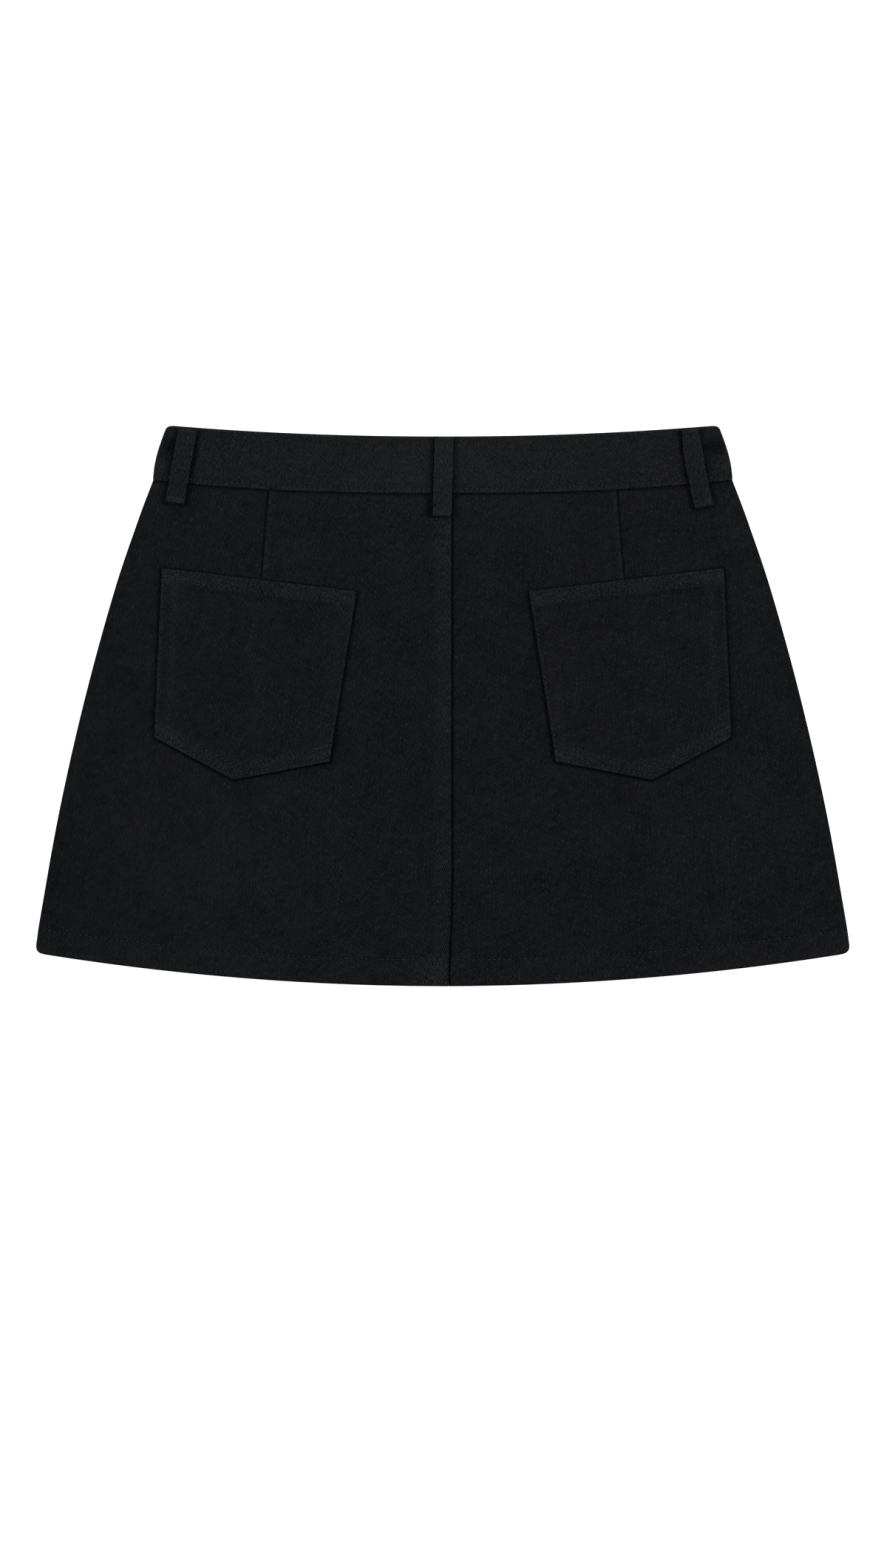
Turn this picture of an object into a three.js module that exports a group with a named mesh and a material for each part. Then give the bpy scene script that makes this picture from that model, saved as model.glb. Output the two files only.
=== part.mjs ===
import * as THREE from "three";

// A black denim mini skirt, laid flat on its front with its back upwards.
// Millimetres. +X is the viewer's right as it lies, +Y points to the waist and +Z up off the table.
// The skirt is a flattened tube: front panels rest on the table, back panels lie on them,
// and both roll into each other at the side seams. Every piece is a wall between two grids of points.

// Cloth
const CLOTH = 1.2; // one layer of denim
const BAND_THICK = 2.0; // the waistband is doubled
const HEM_THICK = 2.0; // the hem is turned up
const LOOP_THICK = 1.6; // a belt loop is a folded strip
const SEAM_GAP = 0.3; // between pieces that are sewn together
const LAY_GAP = 0.4; // under a pocket or a loop that lies on a panel

// Outline of the back, from the waist down
const BAND_TOP_MIDDLE = 181.6; // level of the waist edge at the centre back
const BAND_TOP_RISE = 7.84; // how much higher it is at the sides
const BAND_LOW_MIDDLE = 143.2; // level of the waistband's lower edge at the centre back
const BAND_LOW_RISE = 9.2;
const BAND_LOW_POWER = 2.4; // that edge is flat in the middle and climbs near the sides
const BAND_TOP_HALF = 186.2;
const BAND_LOW_HALF = 195.8;
const HEM_MIDDLE = -189.2;
const HEM_RISE = 22.4; // the hem is this much higher at the sides
const HEM_HALF = 275.2;
const BAND_CORNER = 3.0; // radius of the waistband's corners in plan
const HEM_CORNER = 4.8;
const FRONT_DIP = 12; // the front waist sits lower than the back one
const FRONT_SHORT = 0.8; // the front hem stays hidden behind the back one

// Half width of the waistband, from its top edge (down 0) to its lower edge (down 1)
const BAND_SIDE = [
  { down: 0, half: BAND_TOP_HALF },
  { down: 0.25, half: 189.7 },
  { down: 0.5, half: 192.7 },
  { down: 0.75, half: 194.8 },
  { down: 1, half: BAND_LOW_HALF },
];

// Half width of the skirt, from under the waistband (down 0) to the hem (down 1)
const SKIRT_SIDE = [
  { down: 0, half: 195.3 },
  { down: 0.08, half: 204.9 },
  { down: 0.235, half: 221.5 },
  { down: 0.47, half: 242 },
  { down: 0.705, half: 259 },
  { down: 0.94, half: 272.5 },
  { down: 1, half: HEM_HALF },
];

// Height of the pile of panels at its side edges, how much higher the back arches over the front's
// button, fly and lapped seam, and how far from the centre that arch dies out, level by level
const PILE = [
  { level: 160, edge: 3.8, arch: 3.8, reach: 184 },
  { level: 143, edge: 3.8, arch: 3.8, reach: 184 },
  { level: 128, edge: 3.7, arch: 3.6, reach: 178 },
  { level: 105, edge: 3.5, arch: 2.8, reach: 150 },
  { level: 70, edge: 3.4, arch: 2.2, reach: 110 },
  { level: 20, edge: 3.4, arch: 1.8, reach: 90 },
  { level: -90, edge: 3.4, arch: 1.5, reach: 90 },
  { level: -195, edge: 3.4, arch: 1.7, reach: 110 },
];
const BAND_PILE = 4.8; // height of the two waistbands at their sides
const BAND_ARCH = 3.8;
const BAND_REACH = 184;
const HEM_PILE = 4.8; // height of the pile at the sides of the hem
const HEM_DEPTH = 17; // depth of the turned-up hem
const HEM_EASE = 34; // the pile grows to the hem's height over this length
const HEM_STEP = 1.5; // over which a single panel thickens into the hem

// Centre back seam: the left panel's folded edge lies on the right panel
const SEAM_X = 6.3;
const SEAM_X_HEM = 4.5;
const SEAM_RIDGE = 0.9; // seam allowance under the left panel's edge
const SEAM_RIDGE_WIDE = 11;
const SEAM_FLAT = 4; // the ridge is level this far from the edge

// Darts: the side nearer the centre lies on the other one
const DART = [
  { level: 153, x: 117.5, step: 0.7 },
  { level: 85, x: 122.9, step: 0.3 },
  { level: 45, x: 126, step: 0 },
  { level: -195, x: 152, step: 0 },
];
const DART_ALLOWANCE = 14;
const DART_EDGE = 0.7; // width of the step at the dart line

// Back pocket, on the right; the left one mirrors it
const POCKET = {
  outerTop: [189.5, 93],
  innerTop: [58, 77.2],
  innerLow: [76.4, -37.6],
  tip: [141, -50],
  outerLow: [194.7, -21.3],
};
const POCKET_HEM = 9.6; // depth of the pocket's top hem
const POCKET_TURN = 8.6; // width of its turned-under edges
const POCKET_RAISE = 0.5; // how much those stand up

// Belt loops: the middle of their top and low ends, back ones seen from above
const LOOP_WIDE = 12.7;
const BACK_LOOPS = [
  { name: "belt_loop_back_left", top: [-171.8, 187.2], low: [-180.7, 136.6] },
  { name: "belt_loop_back_centre", top: [1.0, 181.3], low: [-0.5, 127.6] },
  { name: "belt_loop_back_right", top: [166.6, 186.8], low: [176.4, 134.2] },
];
const FRONT_LOOP_X = 92;
const FRONT_LOOP_LONG = 53;
const LOOP_BULGE = 0.8; // a loop's middle stands off the waistband
const LOOP_END = 0.7; // its ends are thicker, being folded under
const LOOP_SEAM = 2.2; // a back loop leaves the waistband this far below its edge
const FRONT_LOOP_TOP = 0.4; // a front loop starts this far below the waist edge
const LOOP_MARGIN = 3; // the front stays raised this far round a front loop
const LOOP_FADE = 8; // and sinks to the table over this width at the loop's sides
const LOOP_FADE_END = 10; // and over this length below it
const LOOP_STEPS = [-18, -13.5, -9, 9, 13.5, 18]; // places where the front rises over a front loop

// Front closure
const LAP = 8; // the left front reaches this far past the centre
const LAP_UNDER = 4.7; // the right front starts this far from the centre, inside the lap
const LAP_RAMP = 7; // over which it climbs onto the left front
const BAND_LAP = 22; // the waistband's overlap past the centre front
const BAND_UNDERLAP = 18;
const BUTTON_RADIUS = 8.5;
const BUTTON_THICK = 1.5;
const BUTTON_EDGE = 0.5; // its rounded edge
const BUTTON_MARGIN = 1;
const BUTTON_SPREAD = 70; // how far round the button the front is held off the table
const ZIP_LONG = 100;
const ZIP_TAPE_HALF = 12;
const ZIP_TAPE_THICK = 0.5;
const ZIP_CHAIN_HALF = 2.4;
const ZIP_SLIDER_HALF = 4.1;
const ZIP_SLIDER_LONG = 9;
const ZIP_SLIDER_DOWN = 4; // the closed slider is this far below the zip's top
const ZIP_STEP = 1; // over which the ridge widens at the slider

const DENIM = 0x18191b;
const ROLL_STEPS = 3; // facets round a rolled side edge

// Small maths
const lerp = (a, b, t) => a + (b - a) * t;
const clamp = (t) => Math.min(1, Math.max(0, t));
const ease = (t) => clamp(t) ** 2 * (3 - 2 * clamp(t));
const hump = (t) => (1 + Math.cos(Math.PI * clamp(Math.abs(t)))) / 2;

// A smooth curve through a table's rows: column value against column key.
function curve(rows, key, value) {
  const sorted = [...rows].sort((a, b) => a[key] - b[key]);
  const x = sorted.map((row) => row[key]);
  const y = sorted.map((row) => row[value]);
  const slopes = x.map((_, i) => {
    const before = Math.max(i - 1, 0);
    const after = Math.min(i + 1, x.length - 1);
    return (y[after] - y[before]) / (x[after] - x[before]);
  });
  return (at) => {
    const i = Math.min(Math.max(x.findIndex((v) => v > at) - 1, 0), x.length - 2);
    const k = at >= x[x.length - 1] ? x.length - 2 : i;
    const wide = x[k + 1] - x[k];
    const t = clamp((at - x[k]) / wide);
    return (
      y[k] * (1 + 2 * t) * (1 - t) ** 2 +
      slopes[k] * wide * t * (1 - t) ** 2 +
      y[k + 1] * t * t * (3 - 2 * t) +
      slopes[k + 1] * wide * t * t * (t - 1)
    );
  };
}
const bandHalf = curve(BAND_SIDE, "down", "half");
const skirtHalf = curve(SKIRT_SIDE, "down", "half");
const pileEdge = curve(PILE, "level", "edge");
const pileArch = curve(PILE, "level", "arch");
const pileReach = curve(PILE, "level", "reach");
const dartX = curve(DART, "level", "x");
const dartStep = curve(DART, "level", "step");

// Edges in plan, as levels across the width
const bandTop = (x) => BAND_TOP_MIDDLE + BAND_TOP_RISE * (x / BAND_TOP_HALF) ** 2;
const bandLow = (x) => BAND_LOW_MIDDLE + BAND_LOW_RISE * (Math.abs(x) / BAND_LOW_HALF) ** BAND_LOW_POWER;
const hem = (x) => HEM_MIDDLE + HEM_RISE * (x / HEM_HALF) ** 2;
const dip = (x) => FRONT_DIP * (1 - clamp(Math.abs(x) / BAND_TOP_HALF) ** 2);
const frontBandTop = (x) => bandTop(x) - dip(x);
const frontBandLow = (x) => bandLow(x) - dip(x);
const frontHem = (x) => hem(x) + FRONT_SHORT;

// Heights
const inHem = (x, y) => 1 - ease((y - hem(x) - HEM_DEPTH) / HEM_STEP);
const panelPile = (x, y) => lerp(pileEdge(y), HEM_PILE, 1 - ease((y - hem(x) - HEM_DEPTH) / HEM_EASE));
const panelThick = (x, y) => lerp(CLOTH, HEM_THICK, inHem(x, y));
const bandPile = () => BAND_PILE;
const bandThick = () => BAND_THICK;
const bandSurface = (x) => BAND_PILE + BAND_ARCH * hump(x / BAND_REACH);
const seamX = (y) => lerp(SEAM_X, SEAM_X_HEM, ease((-122 - y) / 60));
// Allowances folded inside a back panel, at its dart and along the centre back seam
function allowance(x, y) {
  const inside = dartX(y) - Math.abs(x);
  const dart = inside > -DART_EDGE / 2 ? dartStep(y) * (1 - ease(inside / DART_ALLOWANCE)) : 0;
  const fromSeam = seamX(y) - x;
  const ridge = fromSeam >= 0 ? SEAM_RIDGE * (1 - ease((fromSeam - SEAM_FLAT) / (SEAM_RIDGE_WIDE - SEAM_FLAT))) : 0;
  return dart + ridge;
}
const panelSurface = (x, y) => panelPile(x, y) + pileArch(y) * hump(x / pileReach(y)) + allowance(x, y);
const backThick = (x, y) => panelThick(x, y) + allowance(x, y);

// How far the front is held off the table by what it lies on
const onLoop = (x, y) => {
  const across = 1 - ease((Math.abs(Math.abs(x) - FRONT_LOOP_X) - LOOP_WIDE / 2 - LOOP_MARGIN) / LOOP_FADE);
  const along = 1 - ease((frontBandTop(FRONT_LOOP_X) - FRONT_LOOP_LONG - LOOP_MARGIN - y) / LOOP_FADE_END);
  return (LOOP_THICK + SEAM_GAP) * across * along;
};
const BUTTON_Y = (frontBandTop(0) + frontBandLow(0)) / 2;
const onButton = (x, y) => {
  const away = Math.hypot(x, y - BUTTON_Y) - BUTTON_RADIUS - BUTTON_MARGIN;
  return (BUTTON_THICK + SEAM_GAP) * hump(away / BUTTON_SPREAD);
};
const frontLift = (x, y) => Math.max(onLoop(x, y), onButton(x, y));

// A wall between two grids of points of one size, closed round its border.
function wall(outer, inner) {
  const rows = outer.length;
  const columns = outer[0].length;
  const at = (side, i, j) => (side * rows + i) * columns + j;
  const faces = [];
  const quad = (a, b, c, d) => faces.push(a, b, c, a, c, d);
  for (let i = 0; i < rows - 1; i++)
    for (let j = 0; j < columns - 1; j++) {
      quad(at(0, i, j), at(0, i + 1, j), at(0, i + 1, j + 1), at(0, i, j + 1));
      quad(at(1, i, j), at(1, i, j + 1), at(1, i + 1, j + 1), at(1, i + 1, j));
    }
  const last = rows - 1;
  const end = columns - 1;
  for (let j = 0; j < end; j++) {
    quad(at(0, 0, j), at(0, 0, j + 1), at(1, 0, j + 1), at(1, 0, j));
    quad(at(0, last, j + 1), at(0, last, j), at(1, last, j), at(1, last, j + 1));
  }
  for (let i = 0; i < last; i++) {
    quad(at(0, i + 1, 0), at(0, i, 0), at(1, i, 0), at(1, i + 1, 0));
    quad(at(0, i, end), at(0, i + 1, end), at(1, i + 1, end), at(1, i, end));
  }
  const points = [...outer.flat(), ...inner.flat()];
  const corner = (k) => new THREE.Vector3(...points[faces[k]]);
  let volume = 0;
  for (let k = 0; k < faces.length; k += 3) volume += corner(k).dot(corner(k + 1).cross(corner(k + 2)));
  if (volume < 0) faces.reverse();
  const geometry = new THREE.BufferGeometry();
  geometry.setAttribute("position", new THREE.Float32BufferAttribute(points.flat(), 3));
  geometry.setIndex(faces);
  geometry.computeVertexNormals();
  return geometry;
}

// One row of a layer that ends in a rolled side edge. columns are the places across its flat part,
// signed by side; up is 1 for the back layer and -1 for the front one.
function rolledRow(columns, { side, up, half, level, pile, face, thick }) {
  const sideLevel = level(side * half);
  const middle = pile(side * half, sideLevel) / 2;
  const outerRadius = middle;
  const innerRadius = outerRadius - thick(side * half, sideLevel);
  const outer = [];
  const inner = [];
  for (const share of columns(half - outerRadius)) {
    const x = side * share;
    const y = level(x);
    const z = face(x, y);
    outer.push([x, y, z]);
    inner.push([x, y, z - up * thick(x, y)]);
  }
  for (let k = 1; k <= ROLL_STEPS; k++)
    for (const [radius, points] of [
      [outerRadius, outer],
      [innerRadius, inner],
    ]) {
      const turn = (k / ROLL_STEPS) * Math.acos(Math.min(1, SEAM_GAP / 2 / radius));
      const x = side * (half - outerRadius + radius * Math.sin(turn));
      points.push([x, level(x), middle + up * radius * Math.cos(turn)]);
    }
  return { outer, inner };
}

// Rows of a layer: down runs from 0 to 1, and inset narrows the ends where the corners are round.
const CORNER_SHARES = [0, 0.13, 0.4, 1];
function cornerRows(long, corner, atTop) {
  return CORNER_SHARES.map((share) => {
    const from = share * corner;
    const inset = corner - Math.sqrt(corner ** 2 - (corner - from) ** 2);
    return { down: atTop ? from / long : 1 - from / long, inset };
  });
}
const spread = (from, to, count) => Array.from({ length: count + 1 }, (_, i) => lerp(from, to, i / count));
const plain = (downs) => downs.map((down) => ({ down, inset: 0 }));

function layer(rows, shape) {
  const made = rows.map(({ down, inset }) =>
    rolledRow(shape.columns(down), {
      ...shape,
      half: shape.half(down) - inset,
      level: (x) => lerp(shape.top(x), shape.low(x), down),
    }),
  );
  return wall(made.map((row) => row.outer), made.map((row) => row.inner));
}

// Rows of a panel: close together under the waistband and at the hem's fold, where it bends most
const SKIRT_LONG = 325;
const SKIRT_ROWS = [
  ...plain(spread(0, 0.12, 3)),
  ...plain(spread(0.16, 0.9, 13)),
  ...plain([0.93, 0.945, 0.952]),
  ...cornerRows(SKIRT_LONG, HEM_CORNER, false).reverse(),
];

// Back panels, each from the centre back seam to its side seam, with a dart
const PANEL_MIDDLE = 100; // where a level across a panel is read for its seam and dart
function backPanel(side) {
  const columns = (down) => (flatEnd) => {
    const x = side * PANEL_MIDDLE;
    const y = lerp(bandLow(x), hem(x), down);
    const seam = side > 0 ? seamX(y) + SEAM_GAP : -seamX(y);
    const ridge = seam + SEAM_RIDGE_WIDE;
    const dart = dartX(y);
    return [
      seam,
      seam + SEAM_FLAT,
      ridge,
      lerp(ridge, dart, 0.28),
      lerp(ridge, dart, 0.52),
      lerp(ridge, dart, 0.76),
      dart - DART_ALLOWANCE / 2,
      dart,
      dart + DART_EDGE,
      lerp(dart, flatEnd, 0.3),
      lerp(dart, flatEnd, 0.65),
      flatEnd,
    ];
  };
  return layer(SKIRT_ROWS, {
    side,
    up: 1,
    columns,
    half: skirtHalf,
    top: (x) => bandLow(x) - SEAM_GAP,
    low: hem,
    pile: panelPile,
    face: panelSurface,
    thick: backThick,
  });
}

// Front panels: the left one laps over the right one on the outside, which is underneath
function frontPanel(side) {
  const climb = (x) => (side > 0 ? 1 - ease((x - LAP - 1) / LAP_RAMP) : 0);
  const ramp = [0, LAP_RAMP / 2, LAP_RAMP].map((over) => LAP + 1 + over);
  const columns = () => (flatEnd) => [
    ...(side > 0 ? [LAP_UNDER, ...ramp] : [-LAP, 0, 14]),
    32,
    54,
    ...LOOP_STEPS.map((step) => FRONT_LOOP_X + step),
    lerp(FRONT_LOOP_X, flatEnd, 0.45),
    lerp(FRONT_LOOP_X, flatEnd, 0.75),
    flatEnd,
  ];
  return layer(SKIRT_ROWS, {
    side,
    up: -1,
    columns,
    half: skirtHalf,
    pile: panelPile,
    top: (x) => frontBandLow(x) - SEAM_GAP,
    low: frontHem,
    face: (x, y) => frontLift(x, y) + climb(x) * (panelThick(x, y) + SEAM_GAP),
    thick: panelThick,
  });
}

// Waistband: one stretch across the back and two across the front, which lap under the button
const BAND_LONG = 37;
const BAND_ROWS = [
  ...cornerRows(BAND_LONG, BAND_CORNER, true),
  ...plain([0.35, 0.6, 0.85]),
  { down: 0.97, inset: 0.1 },
  { down: 1, inset: 0.8 },
];
function frontBand(side) {
  const climb = (x) => (side > 0 ? 1 - ease((x - BAND_LAP - 1) / LAP_RAMP) : 0);
  const ramp = [0, LAP_RAMP / 2, LAP_RAMP].map((over) => BAND_LAP + 1 + over);
  const columns = () => (flatEnd) => [
    ...(side > 0 ? [-BAND_UNDERLAP, 0, ...ramp] : [-BAND_LAP, -8, 8, 22, 36]),
    52,
    ...LOOP_STEPS.map((step) => FRONT_LOOP_X + step),
    135,
    160,
    flatEnd,
  ];
  return layer(BAND_ROWS, {
    side,
    up: -1,
    columns,
    half: bandHalf,
    pile: bandPile,
    top: frontBandTop,
    low: frontBandLow,
    face: (x, y) => frontLift(x, y) + climb(x) * (BAND_THICK + SEAM_GAP),
    thick: bandThick,
  });
}

// The whole back stretch of the waistband is its two halves' rows joined at the centre.
const BAND_EVEN = 156; // its columns are evenly spaced out to here
function backBand() {
  const across = (flatEnd) => [...spread(0, BAND_EVEN, 12), flatEnd];
  const rows = BAND_ROWS.map(({ down, inset }) => {
    const [right, left] = [1, -1].map((side) =>
      rolledRow(across, {
        side,
        up: 1,
        half: bandHalf(down) - inset,
        level: (x) => lerp(bandTop(x), bandLow(x), down),
        pile: bandPile,
        face: bandSurface,
        thick: bandThick,
      }),
    );
    const join = (face) => [...left[face].slice(1).reverse(), ...right[face]];
    return { outer: join("outer"), inner: join("inner") };
  });
  return wall(rows.map((row) => row.outer), rows.map((row) => row.inner));
}

// Back pockets: a five-sided patch, hemmed at the top and turned under at its other edges.
// The raised border ends in a short slope, as wide as this share of the pocket.
const POCKET_SLOPE = 0.02;
function pocket(side) {
  const { outerTop, innerTop, innerLow, tip, outerLow } = POCKET;
  const wide = outerTop[0] - innerTop[0];
  const long = outerTop[1] - outerLow[1];
  const tipShare = (outerLow[0] - tip[0]) / (outerLow[0] - innerLow[0]);
  const turn = POCKET_TURN / wide;
  const top = POCKET_HEM / long;
  const inner = turn + POCKET_SLOPE;
  const across = [0, turn, inner, 0.28, tipShare, 0.62, 0.78, 1 - inner, 1 - turn, 1];
  const down = [0, top, top + POCKET_SLOPE, 0.3, 0.5, 0.7, 1 - inner, 1 - turn, 1];
  const mix = (a, b, t) => [lerp(a[0], b[0], t), lerp(a[1], b[1], t)];
  const lowEdge = (s) => (s < tipShare ? mix(outerLow, tip, s / tipShare) : mix(tip, innerLow, (s - tipShare) / (1 - tipShare)));
  const grid = (thick) =>
    down.map((t) =>
      across.map((s) => {
        const [x, y] = mix(mix(outerTop, innerTop, s), lowEdge(s), t);
        const turned = s <= turn || s >= 1 - turn || t <= top || t >= 1 - turn;
        const z = panelSurface(side * x, y) + LAY_GAP + thick + (thick > 0 && turned ? POCKET_RAISE : 0);
        return [side * x, y, z];
      }),
    );
  return wall(grid(CLOTH), grid(0));
}

// Belt loops on the back: tacked at the waist edge and below the waistband, standing off it between.
// Their folded ends take the first and last shares of their length.
const LOOP_FIRST = 0.06;
const LOOP_LAST = 0.93;
const LOOP_FOLD = 0.03; // share of the length over which the folded end steps down
function backLoop({ top, low }) {
  const along = new THREE.Vector2(low[0] - top[0], low[1] - top[1]);
  const across = new THREE.Vector2(-along.y, along.x).normalize();
  const under = (x, y) => (y > bandLow(x) - 0.5 ? bandSurface(x, y) : panelSurface(x, y));
  const place = (t, s) => [top[0] + along.x * t + across.x * s, top[1] + along.y * t + across.y * s];
  const sides = [-LOOP_WIDE / 2, 0, LOOP_WIDE / 2];
  const bed = (t) => Math.max(...sides.map((s) => under(...place(t, s)))) + LAY_GAP;
  const below = ([x, y]) => y < bandLow(x) - LOOP_SEAM;
  const leaves = spread(0, 1, 200).find((t) => below(place(t, 0)));
  const slope = LOOP_LAST - LOOP_FOLD;
  const stations = [
    0,
    LOOP_FIRST,
    LOOP_FIRST + LOOP_FOLD,
    ...spread(0.2, leaves, 4),
    lerp(leaves, slope, 0.5),
    slope,
    LOOP_LAST,
    1,
  ];
  const onBand = (t) => bed(t) + LOOP_BULGE * Math.sin(Math.PI * 0.8 * clamp((t - LOOP_FIRST) / (leaves - LOOP_FIRST)));
  const start = onBand(leaves - 0.02);
  const offBand = (t) => lerp(start, bed(LOOP_LAST), ease((t - leaves) / (slope - leaves)));
  const rest = (t) => (t <= leaves ? onBand(t) : t <= slope ? offBand(t) : bed(t));
  const folded = (t) => (t <= LOOP_FIRST || t >= LOOP_LAST ? LOOP_END : 0);
  const grid = (thick) =>
    stations.map((t) => sides.map((s) => [...place(t, s), rest(t) + thick + (thick > 0 ? folded(t) : 0)]));
  return wall(grid(LOOP_THICK), grid(0));
}

// Belt loops on the front lie flat on the table, with the waistband on them.
function frontLoop(side) {
  const top = frontBandTop(FRONT_LOOP_X) - FRONT_LOOP_TOP;
  const grid = (z) =>
    spread(0, FRONT_LOOP_LONG, 4).map((down) =>
      [-LOOP_WIDE / 2, LOOP_WIDE / 2].map((s) => [side * FRONT_LOOP_X + s, top - down, z]),
    );
  return wall(grid(0), grid(LOOP_THICK));
}

// Waist button: a low metal cap, its face on the table
function button() {
  const profile = [
    [0, 0],
    [BUTTON_RADIUS - BUTTON_EDGE, 0],
    [BUTTON_RADIUS, BUTTON_EDGE],
    [BUTTON_RADIUS, BUTTON_THICK - BUTTON_EDGE],
    [BUTTON_RADIUS - BUTTON_EDGE, BUTTON_THICK],
    [0, BUTTON_THICK],
  ].map(([r, z]) => new THREE.Vector2(r, z));
  const geometry = new THREE.LatheGeometry(profile, 28);
  geometry.rotateX(Math.PI / 2);
  geometry.translate(0, BUTTON_Y, 0);
  return geometry;
}

// Fly zip, closed, inside the lap: a tape with the chain as a ridge, wider at the slider
function zip() {
  const top = frontBandLow(0) - 1;
  const rise = CLOTH * 2 + SEAM_GAP * 2;
  const slider = top - ZIP_SLIDER_DOWN;
  const sliderEnd = slider - ZIP_SLIDER_LONG;
  const rows = [
    { y: top, ridge: ZIP_CHAIN_HALF },
    { y: slider + ZIP_STEP, ridge: ZIP_CHAIN_HALF },
    { y: slider, ridge: ZIP_SLIDER_HALF },
    { y: sliderEnd, ridge: ZIP_SLIDER_HALF },
    { y: sliderEnd - ZIP_STEP, ridge: ZIP_CHAIN_HALF },
    ...spread(top - 22, top - ZIP_LONG, 6).map((y) => ({ y, ridge: ZIP_CHAIN_HALF })),
  ];
  const chainSlope = 0.3;
  const places = (ridge) => [
    [-ZIP_TAPE_HALF, 0],
    [-ridge - chainSlope, 0],
    [-ridge, 1],
    [ridge, 1],
    [ridge + chainSlope, 0],
    [ZIP_TAPE_HALF, 0],
  ];
  const outer = rows.map(({ y, ridge }) =>
    places(ridge).map(([x, chain]) => [x, y, frontLift(x, y) + rise - chain * (CLOTH + SEAM_GAP - 0.1)]),
  );
  const inner = rows.map(({ y, ridge }) =>
    places(ridge).map(([x]) => [x, y, frontLift(x, y) + rise + ZIP_TAPE_THICK]),
  );
  return wall(outer, inner);
}

const skirt = new THREE.Group();
function add(name, geometry, color, roughness, metalness) {
  const material = new THREE.MeshStandardMaterial({ color, roughness, metalness });
  const mesh = new THREE.Mesh(geometry, material);
  mesh.name = name;
  skirt.add(mesh);
}
const addCloth = (name, geometry) => add(name, geometry, DENIM, 0.95, 0);

addCloth("back_panel_left", backPanel(-1));
addCloth("back_panel_right", backPanel(1));
addCloth("front_panel_left", frontPanel(-1));
addCloth("front_panel_right", frontPanel(1));
addCloth("waistband_back", backBand());
addCloth("waistband_front_left", frontBand(-1));
addCloth("waistband_front_right", frontBand(1));
addCloth("back_pocket_left", pocket(-1));
addCloth("back_pocket_right", pocket(1));
for (const loop of BACK_LOOPS) addCloth(loop.name, backLoop(loop));
addCloth("belt_loop_front_left", frontLoop(-1));
addCloth("belt_loop_front_right", frontLoop(1));
add("waist_button", button(), 0x3a3b3d, 0.4, 1);
add("fly_zip", zip(), 0x141415, 0.8, 0);

export default skirt;
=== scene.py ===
# %% [markdown]
# A black denim mini skirt, laid flat
#
# The skirt lies on its front, so its back is what the camera sees. Every sewn piece is made here as
# a thin closed shell of cloth: two surfaces, an outer and an inner one, joined round their rim.
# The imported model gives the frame: each new piece stands for one plain solid and keeps its place.

import math

import bpy
import numpy as np
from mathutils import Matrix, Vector


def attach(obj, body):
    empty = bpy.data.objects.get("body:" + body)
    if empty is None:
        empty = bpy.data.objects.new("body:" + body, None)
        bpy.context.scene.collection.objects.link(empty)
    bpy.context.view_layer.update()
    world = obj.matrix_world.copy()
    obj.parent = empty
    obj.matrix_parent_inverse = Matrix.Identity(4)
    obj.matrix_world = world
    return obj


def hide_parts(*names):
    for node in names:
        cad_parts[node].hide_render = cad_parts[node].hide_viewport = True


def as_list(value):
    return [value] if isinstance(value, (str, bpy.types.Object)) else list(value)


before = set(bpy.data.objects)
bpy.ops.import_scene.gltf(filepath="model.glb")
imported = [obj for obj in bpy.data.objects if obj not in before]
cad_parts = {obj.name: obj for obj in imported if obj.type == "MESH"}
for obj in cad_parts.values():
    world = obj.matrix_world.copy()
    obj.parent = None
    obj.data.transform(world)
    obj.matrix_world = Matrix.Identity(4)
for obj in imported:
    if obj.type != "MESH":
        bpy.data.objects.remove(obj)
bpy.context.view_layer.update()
print("nodes:", sorted(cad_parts))

# %% [markdown]
# The camera comes first. The photograph looks straight down, and one of its pixels is about half a
# millimetre on the skirt, so its height follows from the lens. A long lens keeps the sides from
# leaning.

# %% Camera
MM = 0.001
PHOTO_WIDE, PHOTO_HIGH = 1200, 2122
PIXEL = 0.499  # millimetres
SKIRT_COLUMN, SKIRT_ROW = 599.0, 955.3  # the photograph's pixel at the skirt's origin
LENS, SENSOR = 100, 36
EDGE_LEVEL = 2.4  # height of the outline that the camera sees

camera_data = bpy.data.cameras.new("camera")
camera_data.lens = LENS
camera_data.sensor_width = SENSOR
camera = bpy.data.objects.new("camera", camera_data)
bpy.context.collection.objects.link(camera)
camera.location = (
    (PHOTO_WIDE / 2 - SKIRT_COLUMN) * PIXEL * MM,
    (SKIRT_ROW - PHOTO_HIGH / 2) * PIXEL * MM,
    (PHOTO_HIGH / 2 * PIXEL / (SENSOR / 2 / LENS) + EDGE_LEVEL) * MM,
)
bpy.context.scene.camera = camera
print("camera height", round(camera.location.z, 3))

# %% [markdown]
# The sizes are the real skirt's, in millimetres, with x to the right, y to the waist and z up.
# Curved edges are short tables of a few places, and one function draws a smooth curve through them,
# which is easier to correct against a photograph than a long list of points. The other functions
# are soft steps and bumps: near() marks a line on the cloth, and until() marks a border of it.

# %% Sizes and small maths
CLOTH = 1.2
BAND_THICK = 2.0
HEM_THICK = 2.0
LOOP_THICK = 1.6
SEAM_GAP = 0.3
LAY_GAP = 0.4
STITCH_PITCH = 3.5
TUCK = 0.8  # how far a panel reaches under the waistband


def lerp(a, b, t):
    return a + (b - a) * t


def ease(t):
    t = np.clip(t, 0.0, 1.0)
    return t * t * (3.0 - 2.0 * t)


def hump(t):
    return (1.0 + np.cos(np.pi * np.clip(np.abs(t), 0.0, 1.0))) / 2.0


def bell(t):
    return np.exp(-np.square(t))


def near(value, place, wide):
    """1 at a place, fading to 0 on both sides of it."""
    return bell((value - place) / wide)


def until(value, place, wide):
    """1 up to a place, then down to 0 over a width."""
    return 1 - ease((value - place) / wide)


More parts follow.
